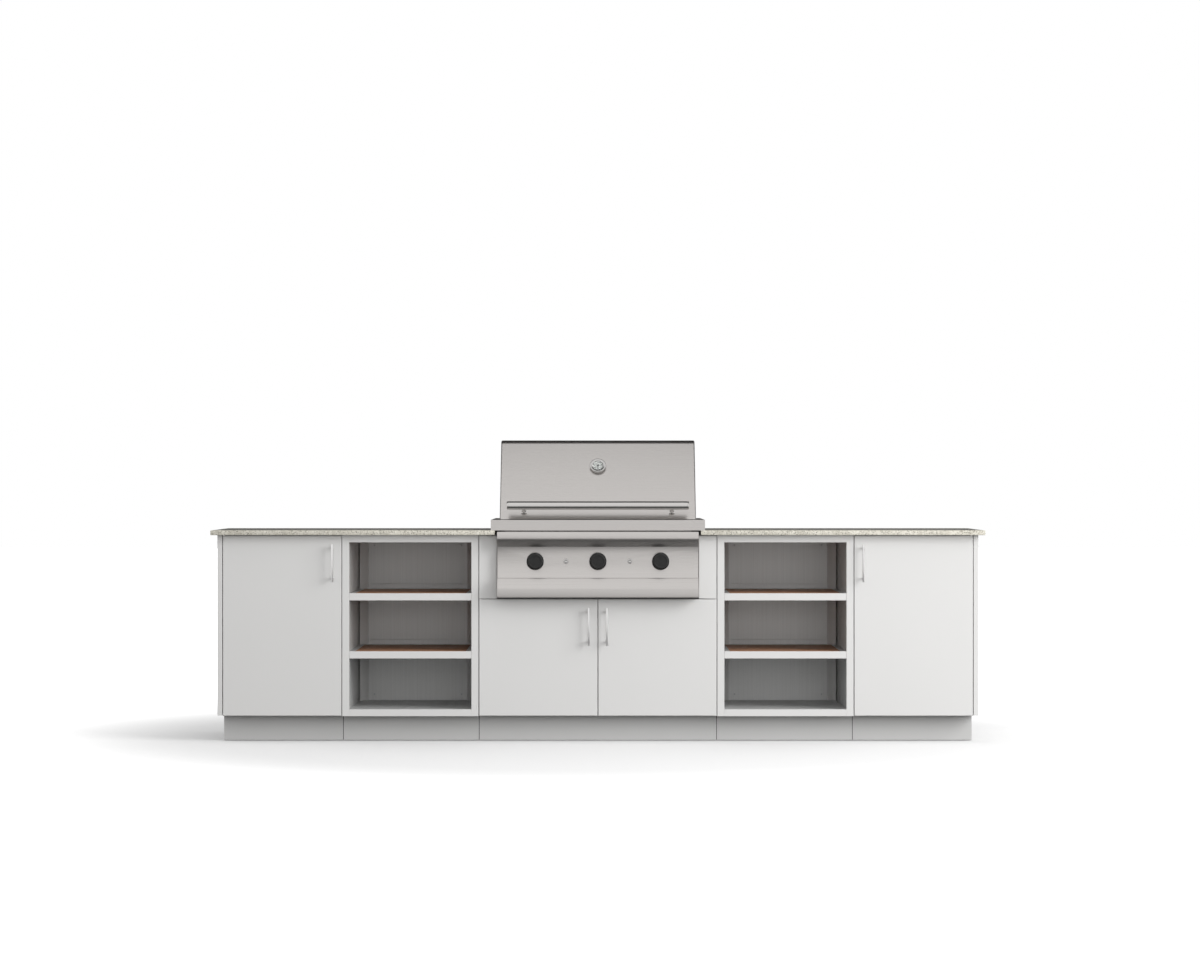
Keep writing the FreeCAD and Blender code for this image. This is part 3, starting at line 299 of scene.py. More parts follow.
def makeShellSheet(name, metal):
    # cabinet sheet: coated on its front edges and on the outside of the back, bare brushed steel inside
    material, tree, shader = newFinish(name)
    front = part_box("cabinet_floors")[0].y + bareSet["edge"]
    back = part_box("cabinet_backs")[1].y - bareSet["skin"]
    split = tree.nodes.new("ShaderNodeSeparateXYZ")
    tree.links.new(objectPlace(tree), split.inputs[0])
    behind = spread(tree, split.outputs["Y"], 0.0, 1.0, front, front + bareSet["fade"])
    before = spread(tree, split.outputs["Y"], 1.0, 0.0, back - bareSet["fade"], back)
    bare = combine(tree, "MULTIPLY", behind, before)
    coat, texture = coatNodes(tree, "powderCoat")
    steel, rough = steelNodes(tree, "bareSheet")[:2]
    feed(tree, shader, Base_Color=blendColours(tree, bare, coat, steel), Roughness=rough,
         Metallic=spread(tree, bare, 0.0, metal, 0, 1), Normal=texture.outputs["Normal"])
    return material


# the dark polish colour and its share are a painted reflection, put in place of the stone where it is seen
# edge-on
# specks: size, share of the surface and colour
graniteSet = {"ground": (0.56, 0.53, 0.45), "pale": (0.74, 0.715, 0.63), "dark": (0.24, 0.22, 0.18),
              "grey": (0.49, 0.47, 0.40), "paintedReflection": (0.10, 0.10, 0.095), "clouds": 40.0, "gloss": 0.6,
              "specks": ((180.0, 0.22, "grey"), (320.0, 0.10, "dark"), (420.0, 0.14, "pale")),
              "paintedReflectionShare": 0.8, "edgeOn": (0.90, 0.98), "rough": (0.10, 0.16)}


def makeGranite():
    material, tree, shader = newFinish("granite", Specular_IOR_Level=graniteSet["gloss"])
    clouds = placeGroup(tree, fineGrain, Scale=graniteSet["clouds"], Detail=6.0, Bump=0.0)
    ground = blendColours(tree, spread(tree, clouds.outputs["Mask"], 0, 1), graniteSet["ground"],
                          graniteSet["pale"])
    for size, share, colour in graniteSet["specks"]:
        specks = placeGroup(tree, stoneSpecks, Scale=size, Share=share)
        ground = blendColours(tree, specks.outputs["Mask"], ground, graniteSet[colour])
    # the stone's colour turns dark grey where the top is seen almost edge-on: a painted reflection of dark
    # surroundings in the polish
    edgeOn = addNode(tree, "ShaderNodeLayerWeight", Blend=0.5)
    paintedReflectionShare = spread(tree, edgeOn.outputs["Facing"], 0.0, graniteSet["paintedReflectionShare"], *graniteSet["edgeOn"])
    feed(tree, shader, Base_Color=blendColours(tree, paintedReflectionShare, ground, graniteSet["paintedReflection"]),
         Roughness=spread(tree, clouds.outputs["Mask"], *graniteSet["rough"]))
    return material


woodSet = {"light": (0.51, 0.275, 0.165), "dark": (0.30, 0.155, 0.088), "stretch": (3.0, 90.0, 90.0),
           "bump": 0.2, "gloss": 0.3, "rough": (0.45, 0.6)}


def makeWood():
    material, tree, shader = newFinish("oiledWood", Specular_IOR_Level=woodSet["gloss"])
    grain = placeGroup(tree, brushLines, Stretch=woodSet["stretch"], Bump=woodSet["bump"])
    colour = blendColours(tree, spread(tree, grain.outputs["Mask"], 0, 1), woodSet["dark"], woodSet["light"])
    rough = spread(tree, grain.outputs["Cloud"], *woodSet["rough"])
    feed(tree, shader, Base_Color=colour, Roughness=rough, Normal=grain.outputs["Normal"])
    return material


def makeGrainFinish(name, low, high, scale, bump, rough, **settings):
    material, tree, shader = newFinish(name, **settings)
    grain = placeGroup(tree, fineGrain, Scale=scale, Bump=bump)
    feed(tree, shader, Base_Color=blendColours(tree, grain.outputs["Mask"], low, high),
         Roughness=spread(tree, grain.outputs["Mask"], *rough))
    if bump:
        feed(tree, shader, Normal=grain.outputs["Normal"])
    return material


def makeMetal(name, *grain):
    return makeGrainFinish(name, *grain, Metallic=1.0)


powderCoat = makePowderCoat("powderCoat")
kickPaintedShadeCoat = makePowderCoat("kickPaintedShadeCoat")
shellSheet = makeShellSheet("shellSheet", bareSet["shell"])
floorSheet = makeShellSheet("floorSheet", bareSet["floor"])
brushedSteel = makeBrushedSteel("brushedSteel")
plainSteel = makeBrushedSteel("plainSteel")
granite = makeGranite()
oiledWood = makeWood()
tubeSteel = makeBrushedSteel("tubeSteel")

# name, darker and lighter colour, grain scale, bump, roughness from and to
turnedSteel = makeMetal("turnedSteel", (0.50, 0.49, 0.48), (0.60, 0.59, 0.58), 900.0, 0.05, (0.16, 0.26))
chrome = makeMetal("chrome", (0.76, 0.76, 0.77), (0.80, 0.80, 0.81), 500.0, 0.02, (0.07, 0.12))
satinSteel = makeMetal("satinSteel", (0.84, 0.835, 0.83), (0.90, 0.895, 0.89), 700.0, 0.05, (0.36, 0.46))
knobBlack = makeGrainFinish("knobBlack", (0.003,) * 3, (0.045,) * 3, 260.0, 0.9, (0.5, 0.75),
                            Specular_IOR_Level=0.25)
brass = makeMetal("brass", (0.60, 0.42, 0.16), (0.70, 0.52, 0.24), 300.0, 0.1, (0.25, 0.4))
zinc = makeMetal("zincPlate", (0.42, 0.43, 0.44), (0.55, 0.56, 0.57), 120.0, 0.15, (0.35, 0.5))
rubber = makeGrainFinish("footRubber", (0.015,) * 3, (0.03,) * 3, 700.0, 0.4, (0.6, 0.8))
enamel = makeGrainFinish("dialEnamel", (0.42, 0.42, 0.41), (0.46, 0.46, 0.45), 300.0, 0.03, (0.4, 0.5))
inkBlack = makeGrainFinish("inkBlack", (0.01,) * 3, (0.02,) * 3, 600.0, 0.1, (0.4, 0.55))
clearGlass = makeGrainFinish("clearGlass", (0.95, 0.97, 0.96), (0.98, 0.99, 0.99), 60.0, 0.0, (0.01, 0.03),
                             Transmission_Weight=1.0, IOR=1.1)

finishOfSlot = {"powder_coat": powderCoat, "granite": granite, "stainless": brushedSteel, "chrome": chrome,
                "knob_black": knobBlack, "wood": oiledWood, "glass": clearGlass, "dial_white": enamel,
                "needle_black": inkBlack, "brass": brass, "rubber": rubber, "galvanised": zinc}
slotOfNode = {entry["node"]: entry["material_slot"] for entry in frame["record"]["subparts"]}
# nodes whose finish differs from their slot's
finishOfNode = dict.fromkeys((
    "cabinet_backs", "cabinet_rails", "door_cabinet_sides", "grill_cabinet_sides", "inner_shelves",
    "shelf_cabinet_sides", "shelf_cabinet_tops", "shelf_trays"), shellSheet)
# the toe kicks take the darker coat: painted shade of their recess
finishOfNode.update(toe_kicks=kickPaintedShadeCoat, cabinet_floors=floorSheet)
for name, node in nodes.items():
    node.data.materials.clear()
    node.data.materials.append(finishOfNode.get(name) or finishOfSlot[slotOfNode[name]])
print("finishes made")


# Floor, and three dark cards that only the polished pieces see

floorSet = {"size": 80.0, "seen": 0.80, "bounce": 0.24, "mirrored": 0.38, "lift": 0.10, "near": 1.6,
            "far": 3.4, "rough": 0.9}
cardSets = [{"name": "floorCard", "place": (0, -1.5, 0.004), "size": (4.0, 2.0), "tip": 0, "tone": 0.12},
            {"name": "rearCard", "place": (0, 4.0, 1.6), "size": (12.0, 3.2), "tip": 90, "tone": 0.12},
            {"name": "overheadCard", "place": (0, 1.87, 3.2), "size": (12.0, 4.66), "tip": 180, "tone": 0.15}]


def makeFloor():
    # grey near the object, where it holds the shadow, and white further out
    bpy.ops.mesh.primitive_plane_add(size=floorSet["size"], location=(0, 0, 0))
    floor = named("studioFloor")
    material, tree, shader = newFinish("studioFloor", Roughness=floorSet["rough"], Specular_IOR_Level=0.0,
                                       Emission_Color=(1, 1, 1, 1))
    length = addNode(tree, "ShaderNodeVectorMath", operation="LENGTH")
    tree.links.new(objectPlace(tree), length.inputs[0])
    away = spread(tree, length.outputs["Value"], floorSet["lift"], 1.0, floorSet["near"], floorSet["far"],
                  "SMOOTHSTEP")
    path = tree.nodes.new("ShaderNodeLightPath")
    polished = combine(tree, "MULTIPLY", path.outputs["Is Glossy Ray"], floorSet["mirrored"])
    seen = combine(tree, "MAXIMUM", seenDirectly(tree, path), polished)
    grey = blendColours(tree, seen, (floorSet["bounce"],) * 3, (floorSet["seen"],) * 3)
    feed(tree, shader, Base_Color=grey, Emission_Strength=combine(tree, "MULTIPLY", seen, away))
    floor.data.materials.append(material)


def makeCard(card):
    bpy.ops.mesh.primitive_plane_add(size=1, location=card["place"],
                                     rotation=(math.radians(card["tip"]), 0, 0))
    sheet = named(card["name"])
    sheet.scale = (*card["size"], 1)
    for ray in ("camera", "diffuse", "shadow", "transmission"):
        setattr(sheet, "visible_" + ray, False)
    material = newFinish(card["name"], Roughness=1.0, Specular_IOR_Level=0.0,
                         Base_Color=(*[card["tone"]] * 3, 1))[0]
    sheet.data.materials.append(material)


makeFloor()
for card in cardSets:
    makeCard(card)


# Modelling helpers

def leaveEdit():
    bpy.ops.object.mode_set(mode="OBJECT")


def clearSelection():
    if bpy.context.mode != "OBJECT":
        leaveEdit()
    bpy.ops.object.select_all(action="DESELECT")


def makeActive(piece):
    clearSelection()
    piece.select_set(True)
    bpy.context.view_layer.objects.active = piece


def applyPlace(piece):
    makeActive(piece)
    bpy.ops.object.transform_apply(location=True, rotation=True, scale=True)


def editWhole(piece):
    makeActive(piece)
    bpy.ops.object.mode_set(mode="EDIT")
    bpy.ops.mesh.select_all(action="SELECT")


def pickParts(piece, kind, wanted):
    # leaves the piece in edit mode with only the wanted faces or edges selected
    editWhole(piece)
    bpy.ops.mesh.select_mode(type=kind)
    bpy.ops.mesh.select_all(action="DESELECT")
    leaveEdit()
    for part in piece.data.polygons if kind == "FACE" else piece.data.edges:
        part.select = wanted(part)
    bpy.ops.object.mode_set(mode="EDIT")


def pickEdges(piece, wanted):
    pickParts(piece, "EDGE", lambda edge: wanted(*(piece.data.vertices[i].co for i in edge.vertices)))


def near(a, b, slack=0.0002):
    return abs(a - b) < slack


def addModifier(piece, kind, **values):
    modifier = piece.modifiers.new(kind.lower(), kind)
    for name, value in values.items():
        setattr(modifier, name, value)
    return modifier.name


def applyModifier(piece, kind, **values):
    makeActive(piece)
    bpy.ops.object.modifier_apply(modifier=addModifier(piece, kind, **values))


def softenEdges(piece, width, segments=3, angle=35):
    applyModifier(piece, "BEVEL", width=width, segments=segments, limit_method="ANGLE",
                  angle_limit=math.radians(angle), use_clamp_overlap=True)


def facesOutward(piece):
    editWhole(piece)
    bpy.ops.mesh.remove_doubles(threshold=0.00001)
    bpy.ops.mesh.normals_make_consistent(inside=False)
    leaveEdit()


def startBlock(name, low, high):
    clearSelection()
    low, high = Vector(low), Vector(high)
    bpy.ops.mesh.primitive_cube_add(size=1, location=(low + high) / 2)
    piece = named(name)
    piece.scale = high - low
    applyPlace(piece)
    return piece


def easedBlock(name, low, high, ease, segments=3):
    piece = startBlock(name, low, high)
    softenEdges(piece, ease, segments)
    return piece


def turnedPiece(name, steps, sides, origin=(0, 0, 0), axis=(0, 0, 1)):
    # drawn out of a disc step by step: (height along the axis, radius)
    clearSelection()
    height, radius = steps[0]
    bpy.ops.mesh.primitive_circle_add(vertices=sides, radius=radius, fill_type="NGON",
                                      location=(0, 0, height))
    piece = named(name)
    applyPlace(piece)
    editWhole(piece)
    for nextHeight, nextRadius in steps[1:]:
        bpy.ops.mesh.extrude_region_move(TRANSFORM_OT_translate={"value": (0, 0, nextHeight - height)})
        ratio = nextRadius / radius
        bpy.ops.transform.resize(value=(ratio, ratio, 1), center_override=(0, 0, nextHeight))
        height, radius = nextHeight, nextRadius
    facesOutward(piece)
    piece.rotation_mode = "QUATERNION"
    piece.rotation_quaternion = Vector(axis).to_track_quat("Z", "Y")
    piece.location = origin
    applyPlace(piece)
    return piece


def roundBar(name, radius, start, end, ease, sides=32):
    # both ends rounded in two chamfers
    start, end = Vector(start), Vector(end)
    length, soft = (end - start).length, ease * 0.3
    steps = [(0, radius - ease), (soft, radius - soft), (ease, radius), (length - ease, radius),
             (length - soft, radius - soft), (length, radius - ease)]
    return turnedPiece(name, steps, sides, start, end - start)


def pickFold(piece, corner):
    pickEdges(piece, lambda a, b: all(near(p.y, corner[0]) and near(p.z, corner[1]) for p in (a, b)))


def foldedStrip(name, profile, x0, x1):
    # one sheet as wide as the piece, drawn from fold to fold through (y, z) points
    (yA, zA), (yB, zB) = profile[:2]
    clearSelection()
    bpy.ops.mesh.primitive_plane_add(size=1, location=((x0 + x1) / 2, (yA + yB) / 2, (zA + zB) / 2),
                                     rotation=(math.atan2(zB - zA, yB - yA), 0, 0))
    piece = named(name)
    piece.scale = (x1 - x0, math.hypot(yB - yA, zB - zA), 1)
    applyPlace(piece)
    pickFold(piece, profile[1])
    for (y0, z0), (y1, z1) in zip(profile[1:], profile[2:]):
        bpy.ops.mesh.extrude_region_move(TRANSFORM_OT_translate={"value": (0, y1 - y0, z1 - z0)})
    leaveEdit()
    return piece


def roundFold(piece, corner, reach, segments):
    pickFold(piece, corner)
    bpy.ops.mesh.bevel(offset=reach, offset_type="OFFSET", segments=segments, affect="EDGES")
    leaveEdit()


def closeStrip(piece, ends, eased, reach, segments, wall):
    # fills both ends of a folded strip, rounds the eased edges there and gives the sheet its wall
    for x in ends:
        pickEdges(piece, lambda a, b: near(a.x, x) and near(b.x, x))
        bpy.ops.mesh.edge_face_add()
        leaveEdit()
    facesOutward(piece)
    for x in ends:
        pickEdges(piece, lambda a, b: near(a.x, x) and near(b.x, x) and eased(a, b))
        bpy.ops.mesh.bevel(offset=reach, segments=segments, affect="EDGES", clamp_overlap=True)
    leaveEdit()
    applyModifier(piece, "SOLIDIFY", thickness=wall, offset=-1, use_even_offset=True)


def discard(*pieces):
    for piece in pieces:
        bpy.data.objects.remove(piece, do_unlink=True)


def cutAway(piece, cutter):
    applyModifier(piece, "BOOLEAN", operation="DIFFERENCE", solver="EXACT", object=cutter)
    discard(cutter)


def joined(pieces, name):
    clearSelection()
    for piece in pieces:
        piece.select_set(True)
    bpy.context.view_layer.objects.active = pieces[0]
    bpy.ops.object.join()
    pieces[0].name = name
    return pieces[0]


def copied(piece, name, offset, mirror=False):
    makeActive(piece)
    bpy.ops.object.duplicate()
    twin = named(name)
    if mirror:
        twin.scale = (-1, 1, 1)
    twin.location = offset
    applyPlace(twin)
    if mirror:
        facesOutward(twin)
    return twin


def finishPiece(piece, finish, body, replaced=(), smooth=35):
    makeActive(piece)
    bpy.ops.object.shade_smooth_by_angle(angle=math.radians(smooth))
    piece.data.materials.clear()
    piece.data.materials.append(finish)
    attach(piece, body)
    if replaced:
        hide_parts(*replaced)


# Granite counter

counterSet = {"ease": 0.0025}


def makeCounter():
    for node in ("counter_left", "counter_right", "counter_rear"):
        slab = easedBlock(node.replace("_", "") + "Slab", *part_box(node), counterSet["ease"])
        finishPiece(slab, granite, "island", [node])


makeCounter()
print("counter made")


# Hood, drawn as one folded sheet with pressed end caps

# the caps' ease is a reach and a number of steps
hoodSet = {"slope": 34.0, "crestRadius": 0.036, "crestSteps": 10, "rearRadius": 0.06, "rearTurn": 44.8,
           "rearSteps": 8, "rearDepth": 0.150, "rearDrop": 0.149, "capEase": (0.006, 4), "capGap": 0.0005,
           "wall": 0.002, "axisRise": 0.020, "axisInset": 0.012, "notch": 0.016, "notchFront": 0.020,
           "notchHeight": 0.027, "opening": 0.040, "openingInset": 0.001, "openingDrop": 0.012,
           "cutOver": 0.01, "cutStep": 0.002}
slope = math.radians(hoodSet["slope"])
hoodLow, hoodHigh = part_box("hood_end_caps")
hoodOut = Vector((0, -math.cos(slope), math.sin(slope)))


def onHoodFace(height):
    return Vector((0, hoodLow.y + (height - hoodLow.z) * math.tan(slope), height))


def makeHood():
    crest = onHoodFace(hoodHigh.z)
    axisY, axisZ = hoodHigh.y - hoodSet["axisInset"], hoodLow.z + hoodSet["axisRise"]
    rearTop = (hoodHigh.y - hoodSet["rearDepth"], hoodHigh.z)
    shoulder = (hoodHigh.y, hoodHigh.z - hoodSet["rearDrop"])
    profile = [(hoodLow.y, hoodLow.z), (crest.y, crest.z), rearTop, shoulder, (hoodHigh.y, axisZ),
               (axisY, hoodLow.z)]
    shell = foldedStrip("hoodShell", profile, hoodLow.x, hoodHigh.x)
    crestReach = hoodSet["crestRadius"] * math.tan((math.pi / 2 - slope) / 2)
    rearReach = hoodSet["rearRadius"] * math.tan(math.radians(hoodSet["rearTurn"] / 2))
    roundFold(shell, (crest.y, crest.z), crestReach, hoodSet["crestSteps"])
    roundFold(shell, rearTop, rearReach, hoodSet["rearSteps"])
    roundFold(shell, shoulder, rearReach, hoodSet["rearSteps"])
    closeStrip(shell, (hoodLow.x, hoodHigh.x), lambda a, b: max(a.z, b.z) > axisZ + 0.001,
               *hoodSet["capEase"], hoodSet["wall"])
    # room for the rim's two ears, and the open lower rear between them
    inside = hoodHigh.x - hoodSet["wall"] - hoodSet["capGap"]
    rearEnd = hoodHigh.y + hoodSet["cutOver"]
    for x in (-inside, inside - hoodSet["notch"]):
        notch = startBlock("earNotch", (x, axisY - hoodSet["notchFront"], hoodLow.z - hoodSet["cutOver"]),
                           (x + hoodSet["notch"], rearEnd, axisZ + hoodSet["notchHeight"]))
        cutAway(shell, notch)
    between = inside - hoodSet["openingInset"]
    opening = startBlock("rearOpening",
                         (-between, axisY - hoodSet["opening"], hoodLow.z - hoodSet["openingDrop"]),
                         (between, rearEnd + hoodSet["cutStep"], axisZ))
    cutAway(shell, opening)
    finishPiece(shell, brushedSteel, "hood", ["hood_skin", "hood_end_caps"])


makeHood()

handleSet = {"radius": 0.0175, "length": 0.768, "postSpacing": 0.626, "standoff": 0.055, "postRadius": 0.007,
             "collarRadius": 0.012, "collar": 0.003, "endCap": 0.006, "sink": 0.002}


def makeHandle():
    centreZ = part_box("hood_handle")[1].z - handleSet["radius"]
    foot = onHoodFace(centreZ - handleSet["standoff"] * math.sin(slope))
    centre = foot + hoodOut * handleSet["standoff"]
    r, length, cap = handleSet["radius"], handleSet["length"], handleSet["endCap"]
    ends = [(0.001, r * 0.55), (0, r * 0.6), (0, r - 0.0025), (0.0012, r - 0.0008), (0.0025, r),
            (cap, r), (cap + 0.0003, r - 0.0006), (cap + 0.0012, r - 0.0006), (cap + 0.0015, r)]
    steps = ends + [(length - height, radius) for height, radius in reversed(ends)]
    tube = turnedPiece("handleTube", steps, 48, centre - Vector((length / 2, 0, 0)), (1, 0, 0))
    p, wide, collar = handleSet["postRadius"], handleSet["collarRadius"], handleSet["collar"]
    reach = handleSet["standoff"] - r + handleSet["sink"]
    postSteps = [(0, wide - 0.001), (0.0008, wide), (collar, wide), (collar + 0.001, p + 0.0015),
                 (collar + 0.003, p), (reach - 0.004, p), (reach, p + 0.002)]
    half = Vector((handleSet["postSpacing"] / 2, 0, 0))
    posts = [turnedPiece("handlePost", postSteps, 40, foot + side * half, hoodOut) for side in (-1, 1)]
    finishPiece(joined([tube] + posts, "hoodHandle"), tubeSteel, "hood", ["hood_handle"])


makeHandle()
print("hood made")


# Thermometer on the hood

gaugeSet = {"height": 1.165, "bezel": 0.034, "case": 0.030, "depth": 0.014, "bore": 0.025, "lip": 0.0232,
            "floor": 0.008, "dial": 0.0248, "lens": 0.0246}
# a long or short mark's inner end and half width, and every fifth mark's number
markSet = {"count": 31, "sweep": 300.0, "long": (0.0175, 0.0004), "short": (0.0195, 0.0002),
           "outer": 0.0215, "rise": (0.0009, 0.0011), "ease": 0.00005}
digitSet = {"every": 5, "first": 50, "step": 50, "size": 0.0042, "ring": 0.0145, "rise": 0.001,
            "thick": 0.00005}
gaugeSeat = onHoodFace(gaugeSet["height"])


def onGauge(piece):
    # from the dial's own plane, z out of the glass and y up the slope, to its place on the hood
    piece.rotation_mode = "XYZ"
    piece.rotation_euler = (math.pi / 2 - slope, 0, 0)
    piece.location = gaugeSeat
    applyPlace(piece)


def makeGauge():
    b, c, d, f = (gaugeSet[key] for key in ("bezel", "case", "depth", "floor"))
    caseSteps = [(0.0001, c), (0.009, c), (0.0095, c + 0.001), (0.0098, b - 0.001), (0.0105, b),
                 (d - 0.0018, b), (d - 0.0006, b - 0.0007), (d, b - 0.0022), (d, b - 0.005),
                 (d - 0.0015, b - 0.008), (d - 0.002, gaugeSet["lip"]), (d - 0.0028, gaugeSet["bore"]),
                 (f, gaugeSet["bore"])]
    case = turnedPiece("gaugeCase", caseSteps, 72, gaugeSeat, hoodOut)
    finishPiece(case, turnedSteel, "hood", ["thermometer_case"])
    wide = gaugeSet["dial"]
    dialSteps = [(f, wide), (f + 0.0009, wide), (f + 0.001, wide - 0.0003), (f + 0.0008, 0.02)]
    dial = turnedPiece("gaugeDial", dialSteps, 64, gaugeSeat, hoodOut)
    finishPiece(dial, enamel, "hood", ["thermometer_dial"])


def makeMark(turn, inner, half):
    low, high = (gaugeSet["floor"] + rise for rise in markSet["rise"])
    mark = startBlock("gaugeMark", (inner, -half, low), (markSet["outer"], half, high))
    softenEdges(mark, markSet["ease"], 1)
    mark.rotation_euler = (0, 0, turn)
    applyPlace(mark)
    return mark


def makeDigits(turn, value):
    ring, height = digitSet["ring"], gaugeSet["floor"] + digitSet["rise"]
    clearSelection()
    bpy.ops.object.text_add(location=(ring * math.cos(turn), ring * math.sin(turn), height))
    number = bpy.context.object
    number.data.body = str(value)
    number.data.size = digitSet["size"]
    number.data.align_x = "CENTER"
    number.data.align_y = "CENTER"
    number.data.extrude = digitSet["thick"]
    bpy.ops.object.convert(target="MESH")
    applyPlace(number)
    return number


def makeMarks():
    marks = []
    for i in range(markSet["count"]):
        turn = math.radians(-90 - i * markSet["sweep"] / (markSet["count"] - 1))
        step, rest = divmod(i, digitSet["every"])
        marks.append(makeMark(turn, *markSet["short" if rest else "long"]))
        if not rest:
            marks.append(makeDigits(turn, digitSet["first"] + step * digitSet["step"]))
    marking = joined(marks, "gaugeMarks")
    onGauge(marking)
    finishPiece(marking, inkBlack, "hood")


def makeLens():
    d, wide = gaugeSet["depth"], gaugeSet["lens"]
    steps = [(d - 0.0032, wide), (d - 0.0024, wide), (d - 0.0019, 0.0215), (d - 0.0014, 0.0150),
             (d - 0.0011, 0.006)]
    lens = turnedPiece("gaugeLens", steps, 64, gaugeSeat, hoodOut)
    finishPiece(lens, clearGlass, "hood", ["thermometer_lens"])


needleSet = {"length": 0.019, "tail": 0.006, "half": 0.0020, "lift": 0.0013, "thick": 0.0007,
             "tip": (0.25, 1, 0.6), "tipHeight": 0.0003, "ease": 0.0001, "hub": 0.003}


def makeNeedle():
    z, length, half = gaugeSet["floor"] + needleSet["lift"], needleSet["length"], needleSet["half"]
    blade = startBlock("needleBlade", (-half, -length, z), (half, needleSet["tail"], z + needleSet["thick"]))
    pickParts(blade, "FACE", lambda face: face.normal.y < -0.9)
    bpy.ops.transform.resize(value=needleSet["tip"],
                             center_override=(0, -length, z + needleSet["tipHeight"]))
    leaveEdit()
    softenEdges(blade, needleSet["ease"], 1)
    r = needleSet["hub"]
    steps = [(z, r), (z + 0.001, r), (z + 0.0014, r - 0.0005), (z + 0.0014, 0.001)]
    hub = turnedPiece("needleHub", steps, 24)
    needle = joined([blade, hub], "gaugeNeedle")
    onGauge(needle)
    finishPiece(needle, inkBlack, "gauge_needle", ["thermometer_needle"])


makeGauge()
makeMarks()
makeLens()
makeNeedle()
print("thermometer made")


# Control panel: one sheet folded round a nose, in to the knob face and out to a lip

# folds and eases are a reach and a number of steps
panelSet = {"recess": 0.040, "nose": 0.868, "faceTop": 0.828, "faceLow": 0.695, "lip": 0.655,
            "noseRadius": 0.035, "noseTurn": 37.0, "noseSteps": 8, "ledge": 0.020, "lipFold": (0.006, 6),
            "crease": (0.0015, 2), "hem": (0.004, 4), "wall": 0.0015, "endEase": (0.002, 3),
            "rimGap": 0.0055, "lipGap": 0.004, "stemHole": 0.012, "switchHole": 0.0094,
            "drill": (-0.01, 0.02)}
controlHeight = 0.766
knobPlaces = {"left": -0.265, "middle": 0.0, "right": 0.265}
switchPlaces = {"ignition": -0.135, "light": 0.135}
panelLow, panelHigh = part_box("control_panel")
knobFaceY = panelLow.y + panelSet["recess"]


def noseFold(front):
    # from the front plane round the nose and straight on to the knob face's top edge
    radius, points = panelSet["noseRadius"], []
    for i in range(panelSet["noseSteps"] + 1):
        turn = math.radians(panelSet["noseTurn"] * i / panelSet["noseSteps"])
        points.append((front + radius * (1 - math.cos(turn)), panelSet["nose"] - radius * math.sin(turn)))
    y, z = points[-1]
    points.append((y + (z - panelSet["faceTop"]) * math.tan(turn), panelSet["faceTop"]))
    return points


def makePanel():
    front, rear = panelLow.y, panelHigh.y
    low, high = panelLow.z + panelSet["lipGap"], panelHigh.z - panelSet["rimGap"]
    faceTop, faceLow, lip = panelSet["faceTop"], panelSet["faceLow"], panelSet["lip"]
    ledge = knobFaceY - panelSet["ledge"]
    profile = [(rear, high), (front, high), *noseFold(front), (knobFaceY, faceTop), (knobFaceY, faceLow),
               (ledge, faceLow), (front, lip), (front, low), (rear, low)]
    panel = foldedStrip("controlPanel", profile, panelLow.x, panelHigh.x)
    roundFold(panel, (front, lip), *panelSet["lipFold"])
    roundFold(panel, (front, low), *panelSet["hem"])
    for corner in ((front, high), (knobFaceY, faceTop), (knobFaceY, faceLow), (ledge, faceLow)):
        roundFold(panel, corner, *panelSet["crease"])
    closeStrip(panel, (panelLow.x, panelHigh.x), lambda a, b: not (near(a.y, rear) and near(b.y, rear)),
               *panelSet["endEase"], panelSet["wall"])
    for places, radius in ((knobPlaces, panelSet["stemHole"]), (switchPlaces, panelSet["switchHole"])):
        for x in places.values():
            ends = [(x, knobFaceY + depth, controlHeight) for depth in panelSet["drill"]]
            cutAway(panel, roundBar("drill", radius, *ends, 0.0005))
    finishPiece(panel, brushedSteel, "island", ["control_panel"])


makePanel()
print("control panel made")


# Knobs, bezels and push buttons

knobSet = {"radius": 0.034, "front": 0.031, "depth": 0.028, "standoff": 0.005, "bezel": 0.038,
           "bezelDepth": 0.003, "flutes": 36, "fluteScale": 0.965, "pointer": 0.0012}
toViewer = (0, -1, 0)


def makeKnob():
    r, f = knobSet["radius"], knobSet["front"]
    back = knobSet["bezelDepth"] + knobSet["standoff"]
    end = back + knobSet["depth"]
    steps = [(back, 0.0085), (back, r - 0.0015), (back + 0.0015, r), (back + 0.006, r),
             (back + 0.0075, r - 0.001), (end - 0.006, f + 0.0006), (end - 0.0025, f - 0.0004),
             (end - 0.0006, f - 0.0022), (end, f - 0.0045), (end - 0.0004, f - 0.0065),
             (end - 0.0016, f - 0.008), (end - 0.0014, 0.012)]
    centre = (0, knobFaceY, controlHeight)
    knob = turnedPiece("knobBody", steps, knobSet["flutes"] * 3, centre, toViewer)
    flute = knobFaceY - back - 0.0075
    frontEnd = knobFaceY - end + 0.0022

    def inFlute(face):
        x, z = face.center.x, face.center.z - controlHeight
        turn = int(round(math.degrees(math.atan2(z, x)) / (120.0 / knobSet["flutes"]) - 0.5))
        return turn % 3 == 0 and frontEnd < face.center.y < flute and math.hypot(x, z) > f - 0.003

    pickParts(knob, "FACE", inFlute)
    bpy.ops.transform.resize(value=(knobSet["fluteScale"], 1, knobSet["fluteScale"]), center_override=centre)
    leaveEdit()
    half = knobSet["pointer"]
    pointer = easedBlock("knobPointer", (-half, knobFaceY - end - 0.0004, controlHeight + 0.010),
                         (half, knobFaceY - end + 0.003, controlHeight + f - 0.006), 0.0005, 2)
    return joined([knob, pointer], "knobBody")


